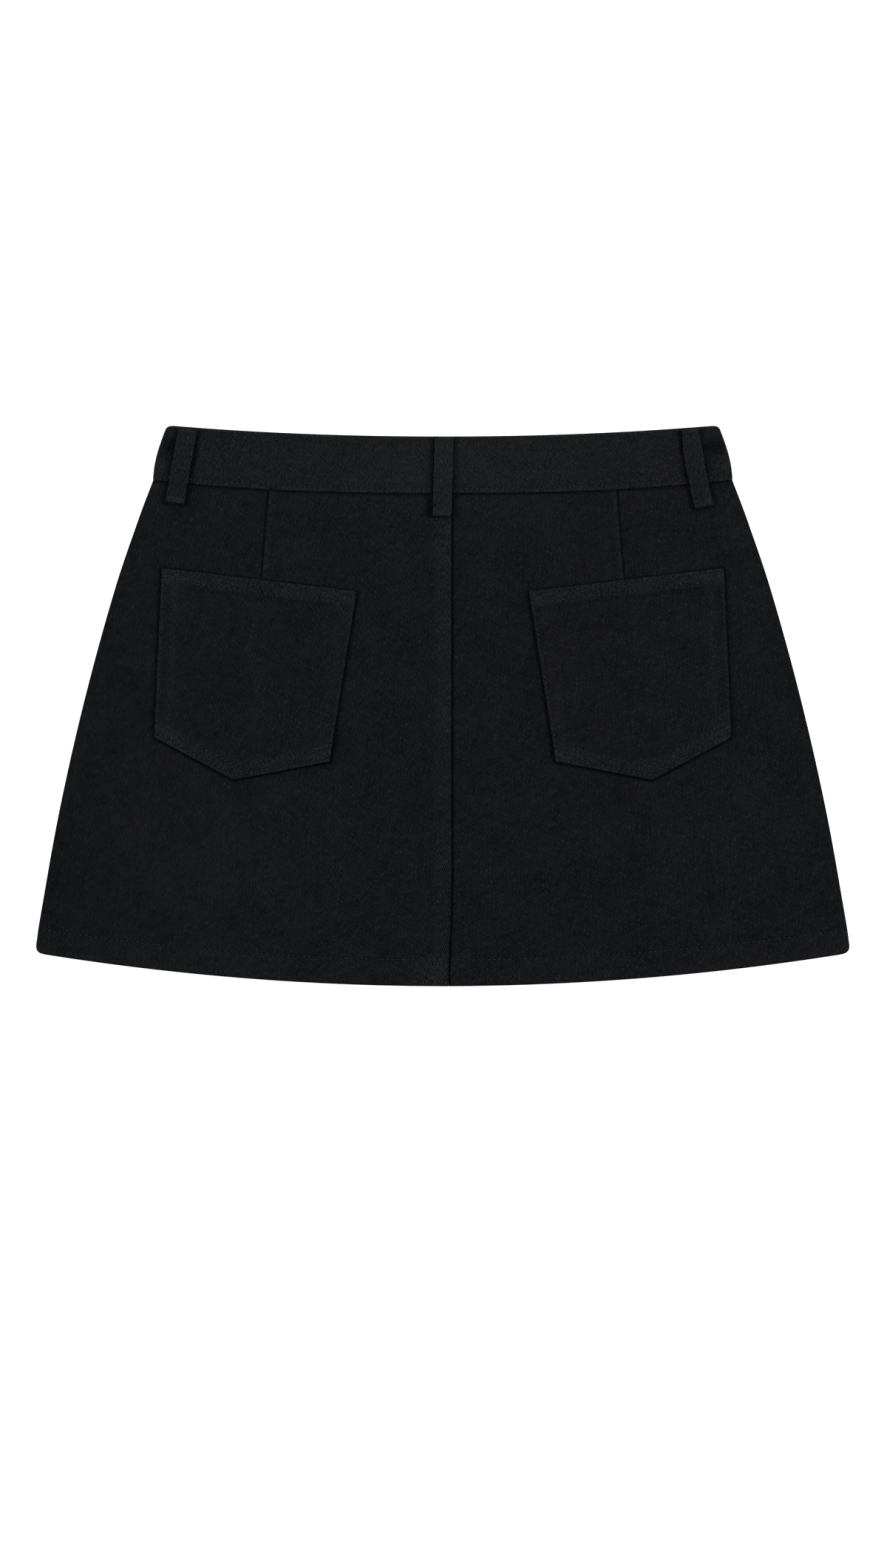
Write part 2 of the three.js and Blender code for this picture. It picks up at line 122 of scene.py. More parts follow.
def waves(way, pitch=STITCH_PITCH):
    """Small waves along a way: stitches pull up one for each of them."""
    return np.sin(2 * np.pi * way / pitch)


def curve(rows, column=1):
    """A smooth curve through a table's rows, one of its columns against the first."""
    x, y = np.array(sorted(rows), float)[:, [0, column]].T
    index = np.arange(len(x))
    before, after = np.maximum(index - 1, 0), np.minimum(index + 1, len(x) - 1)
    slope = (y[after] - y[before]) / (x[after] - x[before])

    def at(place):
        k = np.clip(np.searchsorted(x, place, side="right") - 1, 0, len(x) - 2)
        wide = x[k + 1] - x[k]
        t = np.clip((place - x[k]) / wide, 0.0, 1.0)
        ends = y[k] * (1 + 2 * t) * (1 - t) ** 2 + y[k + 1] * t * t * (3 - 2 * t)
        return ends + wide * (slope[k] * t * (1 - t) ** 2 + slope[k + 1] * t * t * (t - 1))

    return at

# %% [markdown]
# The outline: the waistband's two edges, the hem and the side edges. The front's waist edge dips
# below the back's, as it does on every skirt, and hides behind it here.

# %% Outline
BAND_TOP_HALF, BAND_LOW_HALF, HEM_HALF = 186.2, 195.8, 275.2
BAND_LONG, SKIRT_LONG = 37, 325
BAND_CORNER, HEM_CORNER = 3.0, 4.8
HEM_DEPTH = 17
FRONT_DIP, FRONT_SHORT = 12, 0.8  # how far the front stays below the waist and above the hem

# Both tables: share of the way down, half width there
BAND_SIDE = [(0, BAND_TOP_HALF), (0.25, 189.7), (0.5, 192.7), (0.75, 194.8), (1, BAND_LOW_HALF)]
SKIRT_SIDE = [
    (0, 195.3),
    (0.08, 204.9),
    (0.235, 221.5),
    (0.47, 242),
    (0.705, 259),
    (0.94, 272.5),
    (1, HEM_HALF),
]
band_half, skirt_half = curve(BAND_SIDE), curve(SKIRT_SIDE)


def band_top(x):
    return 181.6 + 7.84 * np.square(x / BAND_TOP_HALF)


def band_low(x):
    return 143.2 + 9.2 * (np.abs(x) / BAND_LOW_HALF) ** 2.4


def hem(x):
    return -189.2 + 22.4 * np.square(x / HEM_HALF)


def front_dip(x):
    return FRONT_DIP * (1 - np.square(np.clip(np.abs(x) / BAND_TOP_HALF, 0, 1)))


def front_band_top(x):
    return band_top(x) - front_dip(x)


def front_band_low(x):
    return band_low(x) - front_dip(x)


def front_hem(x):
    return hem(x) + FRONT_SHORT


print("skirt length at the centre", round(float(band_top(0.0) - hem(0.0)), 1), "mm")

# %% [markdown]
# The pile: how high the back lies over the front. It is lowest at the sides, higher over the fly,
# and highest over the waist button, because there are more layers of cloth there.

# %% Heights of the pile
PILE = [  # level, height at the side, arch added at the centre, how far out the arch reaches
    (160, 3.8, 3.8, 184),
    (143, 3.8, 3.8, 184),
    (128, 3.7, 3.6, 178),
    (105, 3.5, 2.8, 150),
    (70, 3.4, 2.2, 110),
    (20, 3.4, 1.8, 90),
    (-90, 3.4, 1.5, 90),
    (-195, 3.4, 1.7, 110),
]
DART = [(153, 116.4, 0.8), (85, 122.1, 0.5), (45, 126, 0), (-195, 152, 0)]  # level, place, step
BAND_PILE, BAND_ARCH, BAND_REACH = 4.8, 3.8, 184
HEM_PILE, HEM_EASE = 4.8, 34
pile_edge, pile_arch, pile_reach = (curve(PILE, column) for column in (1, 2, 3))
dart_x, dart_step = (curve(DART, column) for column in (1, 2))


def above_hem(x, y):
    return y - hem(x)


def panel_pile(x, y):
    return lerp(pile_edge(y), HEM_PILE, until(above_hem(x, y), HEM_DEPTH, HEM_EASE))


def panel_thick(x, y):
    return lerp(CLOTH, HEM_THICK, until(above_hem(x, y), HEM_DEPTH + 1, 1.5))


def seam_x(y):
    """Where the left back panel's folded edge lies, which is nearer to the middle at the hem."""
    return lerp(5.8, 3.9, ease((-122 - y) / 60))

# %% [markdown]
# Creases are the soft troughs and ridges that handling leaves. They are placed one by one, uneven in
# length and depth: a few run down from the waistband and across the lap, and none is deep, because
# the skirt was pressed. What lies under a pocket also leaves prints, where it rubs off the dye.

# %% Creases
# Each row of these tables: x and y of the start, x and y of the end, half width, height
BACK_CREASES = [
    (-60, 132, -38, 64, 11, 0.28),
    (-146, 134, -168, 96, 9, -0.22),
    (42, 120, 34, 30, 13, -0.24),
    (92, 138, 80, 106, 8, 0.2),
    (-30, 10, -46, -96, 15, -0.26),
    (-128, -66, -150, -158, 17, 0.3),
    (-214, 20, -232, -74, 14, 0.24),
    (30, -40, 48, -150, 16, 0.28),
    (128, -74, 166, -140, 15, -0.26),
    (206, 60, 222, -20, 12, 0.2),
    (198, -70, 244, -92, 13, 0.22),
    (-96, -110, -64, -128, 10, -0.18),
]
FRONT_CREASES = [
    (-70, 118, -44, 40, 12, 0.3),
    (52, 110, 70, 22, 13, 0.26),
    (-150, 30, -186, -70, 15, 0.3),
    (142, -20, 160, -128, 16, 0.28),
    (-56, -60, -84, -148, 14, 0.24),
]
BAND_CREASES = [
    (-150, 176, -128, 158, 7, -0.2),
    (-96, 158, -40, 163, 8, 0.22),
    (58, 172, 36, 152, 8, 0.2),
    (88, 160, 140, 168, 7, -0.2),
]
POCKET_CREASES = [(122, 82, 128, -34, 5, 0.3), (84, 60, 96, -6, 9, -0.2), (150, 50, 168, 8, 10, 0.18)]
LEFT_PRINTS = [(125, 70, 131, 38, 2.4, 0.3), (131, 38, 122, -6, 2.2, 0.28), (124, 20, 128, -20, 1.6, 0.2)]
RIGHT_PRINTS = [(88, 40, 92, -20, 4, 0.16), (150, 62, 146, 20, 5, 0.08)]


def creases(x, y, table):
    """Height that a table of creases adds at a place."""
    total = np.zeros(np.broadcast(x, y).shape)
    for x0, y0, x1, y1, wide, high in table:
        run, rise = x1 - x0, y1 - y0
        along = np.clip(((x - x0) * run + (y - y0) * rise) / (run * run + rise * rise), 0, 1)
        away = np.hypot(x - x0 - run * along, y - y0 - rise * along)
        weaker_ends = 0.3 + 0.7 * np.sin(np.pi * np.clip(along * 0.92 + 0.05, 0, 1))
        total = total + high * near(away, 0, wide) * weaker_ends
    return total

# %% [markdown]
# The back's surface puts this together: the pile, the arch over the fly, the folded allowances at
# the darts and the centre back seam, the turned-up hem and the creases. A dart is a fold, so its
# edge is a small step with a groove beside it.

# %% The back's surface
SEAM_RIDGE, SEAM_RIDGE_WIDE, SEAM_FLAT = 0.9, 11, 4
SEAM_SLIT = 0.03  # what shows between the two back panels
DART_ALLOWANCE = 14
HEM_RAISE, HEM_ROPES = 0.3, 7.2
ROW_DENT = 0.26  # how deep a row of stitches sinks into soft cloth


def hem_row(x):
    """How far the hem's stitches are above its edge."""
    return 16.4 + 1.3 * (1 - np.square(np.clip(x / 261, -1, 1)))


def dart_share(y):
    """1 where a dart is deep, 0 below its point."""
    return np.clip(dart_step(y) / 0.5, 0, 1)


def allowance(x, y):
    """Height of the cloth folded under at the darts and at the centre back seam."""
    inside, from_seam = dart_x(y) - np.abs(x), seam_x(y) - x
    fold = dart_step(y) * ease((inside + 0.15) / 0.3) * until(inside, 0, DART_ALLOWANCE)
    ridge = SEAM_RIDGE * until(from_seam, SEAM_FLAT, SEAM_RIDGE_WIDE - SEAM_FLAT)
    return fold + ridge * (from_seam >= 0)


def grooves(x, y):
    """What the seams press into the cloth beside them."""
    inside, past_seam = dart_x(y) - np.abs(x), x - seam_x(y)
    from_row = above_hem(x, y) - hem_row(x)
    beside_dart = -0.3 * dart_share(y) * near(inside, -0.7, 0.7) * (inside < 0)
    beside_seam = -0.35 * until(past_seam, 0, 3.5) * (past_seam > 0)
    under_band = -0.35 * until(band_low(x) - y, 0, 3)
    hem_fold = HEM_RAISE * until(from_row, 0, 2.2) - ROW_DENT * near(from_row, 0, 0.8)
    roping = 0.07 * near(from_row, -1.8, 2) * waves(x - 0.7 * from_row, HEM_ROPES)
    return beside_dart + beside_seam + under_band + hem_fold + roping


def back_face(x, y):
    arch = pile_arch(y) * hump(x / pile_reach(y))
    return panel_pile(x, y) + arch + allowance(x, y) + grooves(x, y) + creases(x, y, BACK_CREASES)


def back_thick(x, y):
    return panel_thick(x, y) + allowance(x, y)

# %% [markdown]
# The front rests on the table, so its face is almost flat. It rises only over the belt loops and
# the button, which lie between it and the table, and the right side climbs onto the lapped fly.

# %% The front's surface
FRONT_LOOP_X, FRONT_LOOP_LONG, LOOP_WIDE = 92, 53, 12.7
BUTTON_RADIUS, BUTTON_THICK, BUTTON_SPREAD = 8.5, 1.5, 70
BUTTON_Y = float(front_band_top(0.0) + front_band_low(0.0)) / 2
LAP, LAP_UNDER, LAP_RAMP, LAP_AIR = 8, 4.7, 7, 0.1
BAND_LAP, BAND_UNDERLAP = 22, 18
FRONT_REST = 0.22  # room for stitches between the front and the table
FRONT_DENT = 0.12  # how deep the front's hem row lies, and how high the cloth above it


def front_lift(x, y):
    across = until(np.abs(np.abs(x) - FRONT_LOOP_X), LOOP_WIDE / 2 + 3, 8)
    along = until(front_band_top(FRONT_LOOP_X) - y, FRONT_LOOP_LONG + 3, 10)
    on_loop = (LOOP_THICK + SEAM_GAP) * across * along
    from_button = np.maximum(np.hypot(x, y - BUTTON_Y) - BUTTON_RADIUS - 1, 0)
    on_button = (BUTTON_THICK + SEAM_GAP) * hump(from_button / BUTTON_SPREAD)
    return np.maximum(np.maximum(on_loop, on_button), FRONT_REST)


def front_face(side):
    def face(x, y):
        climb = until(x, LAP + 1, LAP_RAMP) * (side > 0) * (panel_thick(x, y) + LAP_AIR)
        from_row = y - front_hem(x) - hem_row(x)
        hem_relief = FRONT_DENT * ((from_row >= 0) + near(from_row, 0, 0.8))
        dents = creases(x, y, FRONT_CREASES) + 0.35 * until(front_band_low(x) - y, 0, 2)
        return front_lift(x, y) + climb + hem_relief + dents

    return face

# %% [markdown]
# One function makes the shell of any sewn piece. It takes the outer and the inner surface as grids
# of points and joins them round the rim. Each point also keeps its place in the weave, as a UV in
# metres, so that the weave follows the cloth and never stretches. The material reads three more
# marks from each point: wear and shade, from -1 where dark shade is painted to 1 where the dye is
# gone, fade and shade for broad paler and darker patches, and nap, which hides the weave.

# %% Shells of cloth
FADES_AND_SHADE = [  # x and y of a patch, its reach along x and y, how much paler it is; below 0, how much darker
    (8, 168, 80, 46, 0.26),
    (-145, -105, 72, 46, 0.2),
    (190, -90, 36, 32, 0.13),
    (40, -112, 40, 30, 0.06),
    (-250, -125, 26, 44, -0.16),
    (-226, 14, 14, 60, -0.1),
    (226, 20, 14, 60, -0.1),
    # Painted shade beside the right pocket's inner edge.
    (60, 40, 12, 46, -0.08),
]
cuts = {}


def graded(*stops):
    """Places from the first stop to the last: each stop is (place, spacing after it)."""
    places = []
    for (start, spacing), (end, _) in zip(stops, stops[1:]):
        count = max(1, round(abs(end - start) / spacing))
        places.extend(np.linspace(start, end, count, endpoint=False))
    return np.array(places + [stops[-1][0]])


def rim(away, radius=0.8):
    """Share of its thickness that cloth has this far from a folded edge."""
    t = np.clip(1 - away / radius, 0, 1)
    return np.maximum(np.sqrt(1 - t * t), 0.3)


def faded_and_shaded(x, y):
    """How much paler the cloth is at a place than its mean, and below 0 how much darker, partly as painted
    shade.
    """
    total = 0 * x
    for at_x, at_y, wide, long, much in FADES_AND_SHADE:
        total = total + much * bell(np.hypot((x - at_x) / wide, (y - at_y) / long))
    return total


def napped(x, y):
    """From 0 to 1: how far nap hides the weave, most at the left and below the pockets."""
    return ease((-40 - x) / 190) * (1 - 0.7 * ease((y - 50) / 60))


def rubbed_and_shaded(worn, painted_shade):
    """Wear from the sum of what is worn, dimmed and darkened by the strongest painted shade."""
    worn, painted_shade = np.clip(sum(worn), 0, 1), np.maximum.reduce(painted_shade)
    return worn * (1 - painted_shade) - painted_shade


def area_of(outer):
    """Area of a grid of points in square metres."""
    across = outer[:-1, 1:] - outer[:-1, :-1]
    down = outer[1:, :-1] - outer[:-1, :-1]
    return float(np.linalg.norm(np.cross(across, down), axis=-1).sum()) * MM * MM


def turned(cut, degrees):
    """The places of a flat plan, turned to the grain."""
    turn = math.radians(degrees)
    u = cut[..., 0] * math.cos(turn) + cut[..., 1] * math.sin(turn)
    v = cut[..., 1] * math.cos(turn) - cut[..., 0] * math.sin(turn)
    return np.stack([u, v], -1)


def fan(cut, side, base, by_x, by_y):
    """Turns the grain by base degrees, and more with every millimetre outwards and upwards."""
    x, y = side * cut[..., 0], cut[..., 1]
    base, by_x, by_y = (math.radians(angle) for angle in (base, by_x, by_y))
    u = x + base * y + by_x * x * y + by_y * y * y / 2
    v = y - base * x - by_x * x * x / 2 - by_y * x * y
    return np.stack([side * u, v], -1)


def grid_faces(grid):
    corners = [grid[:-1, :-1], grid[1:, :-1], grid[1:, 1:], grid[:-1, 1:]]
    return np.stack(corners, -1).reshape(-1, 4)


def strip_faces(top, bottom):
    return np.stack([top[:-1], top[1:], bottom[1:], bottom[:-1]], -1)


def link_mesh(name, points, faces):
    """A smooth mesh from points in millimetres, linked into the scene."""
    mesh = bpy.data.meshes.new(name)
    mesh.from_pydata((points * MM).tolist(), [], faces)
    mesh.polygons.foreach_set("use_smooth", np.ones(len(mesh.polygons), bool))
    piece = bpy.data.objects.new(name, mesh)
    bpy.context.collection.objects.link(piece)
    return piece


def shell(name, outer, inner, cut, weave, wear_and_shade):
    """A closed shell from two grids of points, with its flat plan, weave, and its wear and painted shade.
    """
    wide, long = np.ptp(cut[..., 0]) * MM, np.ptp(cut[..., 1]) * MM
    cuts[name] = {"flat": (float(wide), float(long)), "area": min(area_of(outer), float(wide * long))}
    points = np.concatenate([outer.reshape(-1, 3), inner.reshape(-1, 3)])
    top, bottom = np.arange(len(points)).reshape(2, *outer.shape[:2])
    quads = [
        grid_faces(top),
        grid_faces(bottom)[:, [0, 3, 2, 1]],
        strip_faces(top[0], bottom[0]),
        strip_faces(top[-1, ::-1], bottom[-1, ::-1]),
        strip_faces(top[::-1, 0], bottom[::-1, 0]),
        strip_faces(top[:, -1], bottom[:, -1]),
    ]
    quads = np.concatenate(quads)
    a, b, c, d = (points[quads[:, k]] for k in range(4))
    volume = (a * (np.cross(b, c) + np.cross(c, d))).sum() / 6
    if volume < 0:
        quads = quads[:, ::-1]
    piece = link_mesh(name, points, quads.tolist())
    mesh = piece.data
    place = np.tile(weave.reshape(-1, 2), (2, 1)) * MM
    loops = np.empty(len(mesh.loops), np.int32)
    mesh.loops.foreach_get("vertex_index", loops)
    uv = mesh.uv_layers.new(name="Cloth")
    uv.data.foreach_set("uv", place[loops].astype(np.float32).ravel())
    fade_and_shade, nap = (mark(outer[..., 0], outer[..., 1]) for mark in (faded_and_shaded, napped))
    inner_wear = 0.3 * np.maximum(wear_and_shade, 0)
    for mark, outside, inside in (("WearAndShade", wear_and_shade, inner_wear), ("Fade", fade_and_shade, fade_and_shade), ("Nap", nap, nap)):
        values = mesh.attributes.new(mark, "FLOAT", "POINT").data
        values.foreach_set("value", np.append(outside, inside).astype(np.float32))
    mesh.update()
    print(name, len(mesh.polygons) * 2, "triangles,", round(abs(volume) / 1000, 1), "cm3")
    return piece

# %% [markdown]
# A panel or a waistband is made row by row, from its upper edge down to its lower one. Each row runs
# outwards over the flat part, then round the side in an arc and stops at mid-height, where the front
# meets the back at the side seam. Near a folded edge the two surfaces draw together, so that the
# edge is round. The functions handed in give the sheet's outline, height and thickness.

# %% Rows that end in a rolled side
ROLL_STEPS = 7


def rolled_row(down, inset, side, up, half, top, low, places, pile, face, thick, edge):
    """Outer points, inner points and flat places of one row, a share of the way down a sheet."""
    side_x = side * (float(half(down)) - inset)

    def level(x):
        return lerp(top(x), low(x), down)

    middle = pile(side_x, level(side_x)) / 2
    flat_end = side * side_x - middle
    x = side * places(down, flat_end)
    y = level(x)
    outer_z, wall = face(x, y), thick(x, y)
    slack = (1 - rim(edge(x, y))) * wall / 2
    turn = np.linspace(0, math.acos(SEAM_GAP / 2 / middle), ROLL_STEPS + 1)[1:]
    roll_wall = thick(side_x, level(side_x))
    roll_x = side * (flat_end + middle * np.sin(turn))
    roll_slack = (1 - rim(edge(roll_x, level(roll_x)))) * roll_wall / 2
    shown_middle = (outer_z[-1] if up > 0 else 2 * middle - outer_z[-1]) - middle
    offset = (shown_middle - middle) * (1 - ease(turn / (math.pi / 2)))

    def points(flat_z, radius):
        bend_x = side * (flat_end + radius * np.sin(turn))
        bend_z = middle + up * (radius * np.cos(turn) + offset)
        return np.stack([np.append(x, bend_x), np.append(y, level(bend_x)), np.append(flat_z, bend_z)], -1)

    outer = points(outer_z - up * slack, middle - roll_slack)
    inner = points(outer_z - up * (wall - slack), middle - roll_wall + roll_slack)
    cut = [np.append(x, side * (flat_end + middle * turn)), np.append(y, level(roll_x))]
    return outer, inner, np.stack(cut, -1)


def rolled_sheet(downs, insets, **sheet):
    """The grids of outer points, inner points and flat places of a whole sheet."""
    rows = [rolled_row(down, inset, **sheet) for down, inset in zip(downs, insets)]
    return [np.stack(grid) for grid in zip(*rows)]


def corner_rows(distances, corner):
    """How far a round corner draws a row in, at each distance from an edge."""
    reach = np.clip(corner - distances, 0, corner)
    return corner - np.sqrt(corner**2 - reach**2)


PANEL_TOP = graded((0, 0.35), (1.4, 0.9), (5, 2.6), (48, 1.5), (204, 3.2), (286.8, 3.2))
PANEL_HEM = graded((35, 2.5), (21, 0.8), (19, 0.45), (14, 0.9), (6, 1.0), (1.2, 0.3), (0, 1))
PANEL_DOWN = np.concatenate([PANEL_TOP / SKIRT_LONG, 1 - PANEL_HEM / SKIRT_LONG])
PANEL_INSET = np.concatenate([PANEL_TOP * 0, corner_rows(PANEL_HEM, HEM_CORNER)])
PANEL_GRAIN = (4.0, 0.022, 0.03)  # degrees in the middle, and for each millimetre out and up
print("panel rows", len(PANEL_DOWN))


def make_panel(name, side, up, wear_and_shade_of, **sheet):
    outer, inner, cut = rolled_sheet(
        PANEL_DOWN, PANEL_INSET, side=side, up=up, half=skirt_half, pile=panel_pile, **sheet
    )
    wear_and_shade = wear_and_shade_of(outer[..., 0], outer[..., 1])
    # Painted shade round the rolled side edge, darker the further the cloth turns under.
    wear_and_shade[:, -ROLL_STEPS:] -= np.linspace(0.1, 0.9, ROLL_STEPS)
    weave = fan(cut, side, *PANEL_GRAIN) * np.array([up, 1])
    return shell(name, outer, inner, cut, weave, wear_and_shade)

# %% [markdown]
# Shade is painted into the cloth beside a raised edge, as a darker colour: next to the pockets, the
# belt loops, the darts and the waistband. The pockets' corners and the loops' ends are given here,
# because the panels below them need to know.

# %% Painted shade beside raised edges
POCKET = {  # corners of the right pocket; the left one mirrors it
    "outer_top": (189.5, 93.0),
    "inner_top": (58.0, 77.2),
    "inner_low": (76.4, -37.6),
    "tip": (141.0, -50.0),
    "outer_low": (194.7, -21.3),
}
BACK_LOOPS = {  # a loop's ends, how far it bows, its grain in degrees and how rubbed it is
    "left": {"top": (-171.8, 187.2), "low": (-180.7, 136.6), "bow": 0, "grain": 2.4, "worn": 0.42},
    "centre": {"top": (1.0, 181.3), "low": (-0.5, 127.6), "bow": 0, "grain": 6.9, "worn": 0.6},
    "right": {"top": (166.6, 186.8), "low": (176.4, 134.2), "bow": 1.0, "grain": 8.1, "worn": 0.52},
}
# Painted shade: how dark the cloth is drawn to the left and to the right of each loop
LOOP_SHADES = {"left": (0.75, 0.75), "centre": (0.7, 0.5), "right": (0.75, 0.4)}


def pocket_distances(x, y):
    """Distances inside the top, the inner side, the two low edges and the outer side."""
    corners = list(POCKET.values())
    distances = []
    for (x0, y0), (x1, y1) in zip(corners, corners[1:] + corners[:1]):
        twice_area = (y - y0) * (x1 - x0) - (x - x0) * (y1 - y0)
        distances.append(twice_area / math.hypot(x1 - x0, y1 - y0))
    return distances


def pocket_side(top, low, y):
    """How far out a side of the pocket, or its line beyond the corners, is at one level."""
    (x0, y0), (x1, y1) = POCKET[top], POCKET[low]
    return x0 + (y - y0) / (y1 - y0) * (x1 - x0)


def loop_frame(loop):
    """A loop's upper end, the directions along and across it, and its length."""
    top, low = np.array(loop["top"]), np.array(loop["low"])
    along = low - top
    long = float(np.hypot(*along))
    return top, along / long, np.array([-along[1], along[0]]) / long, long


def painted_shade_beside_loops(x, y):
    """From 0 to 1: painted shade on the cloth at the side or end of a back loop."""
    darkest = np.zeros(np.shape(x))
    for name, (left_shade, right_shade) in LOOP_SHADES.items():
        top, along, across, long = loop_frame(BACK_LOOPS[name])
        down = (x - top[0]) * along[0] + (y - top[1]) * along[1]
        aside = (x - top[0]) * across[0] + (y - top[1]) * across[1]
        outside = np.maximum.reduce([np.abs(aside) - LOOP_WIDE / 2, down - long + 1.5, 0 * x])
        shade = np.where(aside > 0, right_shade, left_shade)
        darkest = np.maximum(darkest, shade * near(outside, 0, 2.6))
    return darkest


def painted_shade_beside_pockets(x, y):
    """From 0 to 1: painted shade on the cloth just outside a pocket's edge."""
    top, *others = pocket_distances(np.abs(x), y)
    outside = np.maximum(-np.minimum.reduce([top * 1.6, *others]), 0)
    # Painted shade is wider at the pocket's low inner corner.
    low_corner = bell(np.hypot(np.abs(x) - 74, y + 26) / 12)
    return 0.95 * bell(outside / (1.2 + 1.4 * low_corner))

# %% [markdown]
# Back panels. Each runs from the centre back seam to its side. The columns of points crowd together
# at the seam, at the dart and at the pocket's sides, where cloth bends or its wear and painted shade
# change sharply, and spread out between them, so that the mesh is fine only where it needs to be.

# %% Back panels
COLUMNS = [10, 12, 6, 8, 9, 7, 5, 5, 6, 26, 8, 8]  # from each anchor of a row to the next


def back_places(side):
    def places(down, flat_end):
        x = side * 100.0
        y = float(lerp(band_low(x), hem(x), down))
        seam = float(seam_x(y)) + SEAM_SLIT if side > 0 else -float(seam_x(y))
        dart = float(dart_x(y))
        inner = pocket_side("inner_top", "inner_low", y)
        outer = min(pocket_side("outer_top", "outer_low", y), flat_end - 12)
        anchors = [seam, seam + 3, seam + 14, inner - 3.2, inner + 0.4, dart - 16, dart - 2, dart]
        anchors += [dart + 2, dart + 9, outer - 0.4, outer + 3.2, flat_end]
        parts = [np.linspace(a, b, n, endpoint=False) for a, b, n in zip(anchors, anchors[1:], COLUMNS)]
        return np.concatenate(parts + [[flat_end]])

    return places


def back_edge(side):
    def distance(x, y):
        seam = x - seam_x(y) - SEAM_SLIT + 0.5 if side > 0 else seam_x(y) - x + 0.3
        return np.minimum.reduce([above_hem(x, y), seam, back_top(x) - y + 0.4])

    return distance


def back_wear_and_shade(x, y):
    height, out = above_hem(x, y), np.abs(x)
    from_row = height - hem_row(x)
    inside_seam, inside_dart = seam_x(y) - x, dart_x(y) - out
    ridge = (0.47 + 0.2 * ease((y + 60) / 80)) * (inside_seam > 0) * until(inside_seam, 8, 6)
    worn_folds = ridge * (0.75 + 0.25 * np.sin(y / 5.1) * np.sin(y / 12.7))
    worn_folds = worn_folds + 0.6 * near(inside_dart, 1.2, 1.4) * dart_share(y)
    worn_hem = 0.2 * near(height, 2.4, 2) + 0.16 * (from_row < 0)
    worn_side = 0.25 * near(out, 272, 3)
    worn_corner = 0.9 * near(x, -5, 7) * near(height, 8, 7)
    puckers = 0.4 * near(from_row, 2.6, 1.5) * near(np.abs(x - 4), 9, 7)
    # Painted shade beside the dart's fold, right of the centre back seam, under the waistband, in the hem's
    # row and along the hem's edge.
    painted_shade_dart = 0.8 * near(inside_dart, -0.55, 0.65) * dart_share(y)
    painted_shade_seam = near(inside_seam, -0.4, 1.1) * (inside_seam < 0)
    painted_shade_under_band = 0.8 * near(band_low(x) - y, 0, 1.3)
    painted_shade_hem = 0.3 * near(from_row, 0, 0.8) + 0.8 * near(height, 0, 0.9)
    return rubbed_and_shaded(
        [worn_folds, worn_hem, worn_side, worn_corner, puckers],
        [painted_shade_dart, painted_shade_seam, painted_shade_under_band, painted_shade_hem, painted_shade_beside_loops(x, y), painted_shade_beside_pockets(x, y)],
    )


def back_top(x):
    return band_low(x) + TUCK


def make_back(side, name):
    outline = {"top": back_top, "low": hem, "places": back_places(side), "edge": back_edge(side)}
    return make_panel(name, side, 1, back_wear_and_shade, face=back_face, thick=back_thick, **outline)


back_left = make_back(-1, "denim_back_left")
back_right = make_back(1, "denim_back_right")

# %% [markdown]
# Front panels are made the same way, face down. The left one laps over the right one at the centre
# front, with the zip between them, and both are plainer, because they rest on the table.

# %% Front panels
def front_places(side):
    if side > 0:
        fly = graded((LAP_UNDER, 0.6), (LAP, 1.4), (LAP + 9, 5), (70, 2.5))
    else:
        fly = graded((-LAP, 0.6), (-LAP + 3, 3), (30, 5), (70, 2.5))
    over_loop = graded((72.5, 2.5), (112, 1))[:-1]

    def places(down, flat_end):
        return np.concatenate([fly, over_loop, np.linspace(112, flat_end, 16)])

    return places


def front_edge(side):
    def distance(x, y):
        centre = x - LAP_UNDER if side > 0 else LAP - x
        return np.minimum.reduce([y - front_hem(x), centre, front_top(x) - y + 0.4])

    return distance


def front_wear_and_shade(x, y):
    height = y - front_hem(x)
    worn_hem = 0.2 * near(height, 2.4, 2) + 0.16 * (height < hem_row(x))
    # Painted shade in the groove of the hem's row.
    return rubbed_and_shaded([worn_hem, 0.3 * near(x, LAP, 3)], [0.55 * near(height, hem_row(x), 0.8)])


def front_top(x):
    return front_band_low(x) + TUCK


def make_front(side, name):
    outline = {"top": front_top, "low": front_hem, "places": front_places(side), "edge": front_edge(side)}
    return make_panel(name, side, -1, front_wear_and_shade, face=front_face(side), thick=panel_thick, **outline)


front_left = make_front(-1, "denim_front_left")
front_right = make_front(1, "denim_front_right")

# %% [markdown]
# The waistband is doubled cloth. Two rows of stitches hold it: one just under its upper edge and one
# just above its lower edge. The lower row pulls the seam up into small slanting ropes, one for each
# stitch, and these are modelled in the mesh, because they show as a row of light and dark marks.

# %% Waistband
BAND_ROW_TOP, BAND_ROW_LOW = 1.5, 3.1  # distance of its stitch rows from its edges
BAND_GRAIN = (1.5, 0.027, 0)
BAND_TOP_DISTANCES = graded((0, 0.3), (3, 0.7), (6, 1.6), (30.5, 0.6), (BAND_LONG, 1))
BAND_DOWN = BAND_TOP_DISTANCES / BAND_LONG
BAND_INSET = corner_rows(BAND_TOP_DISTANCES, BAND_CORNER)
BAND_INSET = BAND_INSET + corner_rows(BAND_LONG - BAND_TOP_DISTANCES, 1.0)


def band_relief(x, from_top, from_low):
    """Dents of the two stitch rows and the roping of the edges."""
    dents = 0.24 * near(from_top, BAND_ROW_TOP, 0.6) + 0.28 * near(from_low, BAND_ROW_LOW, 0.6)
    uneven = 0.75 + 0.25 * np.sin(x / 17.0) * np.sin(x / 6.3 + 1)
    low_ropes = 0.17 * waves(x + 0.9 * from_low) * near(from_low, 1.3, 1.2) * uneven
    top_ropes = 0.06 * waves(x + 1.2 * from_top) * near(from_top, 0, 1.6)
    pull = 0.05 * waves(x) * near(from_low, 4.6, 1.2)
    return low_ropes + top_ropes + pull - dents


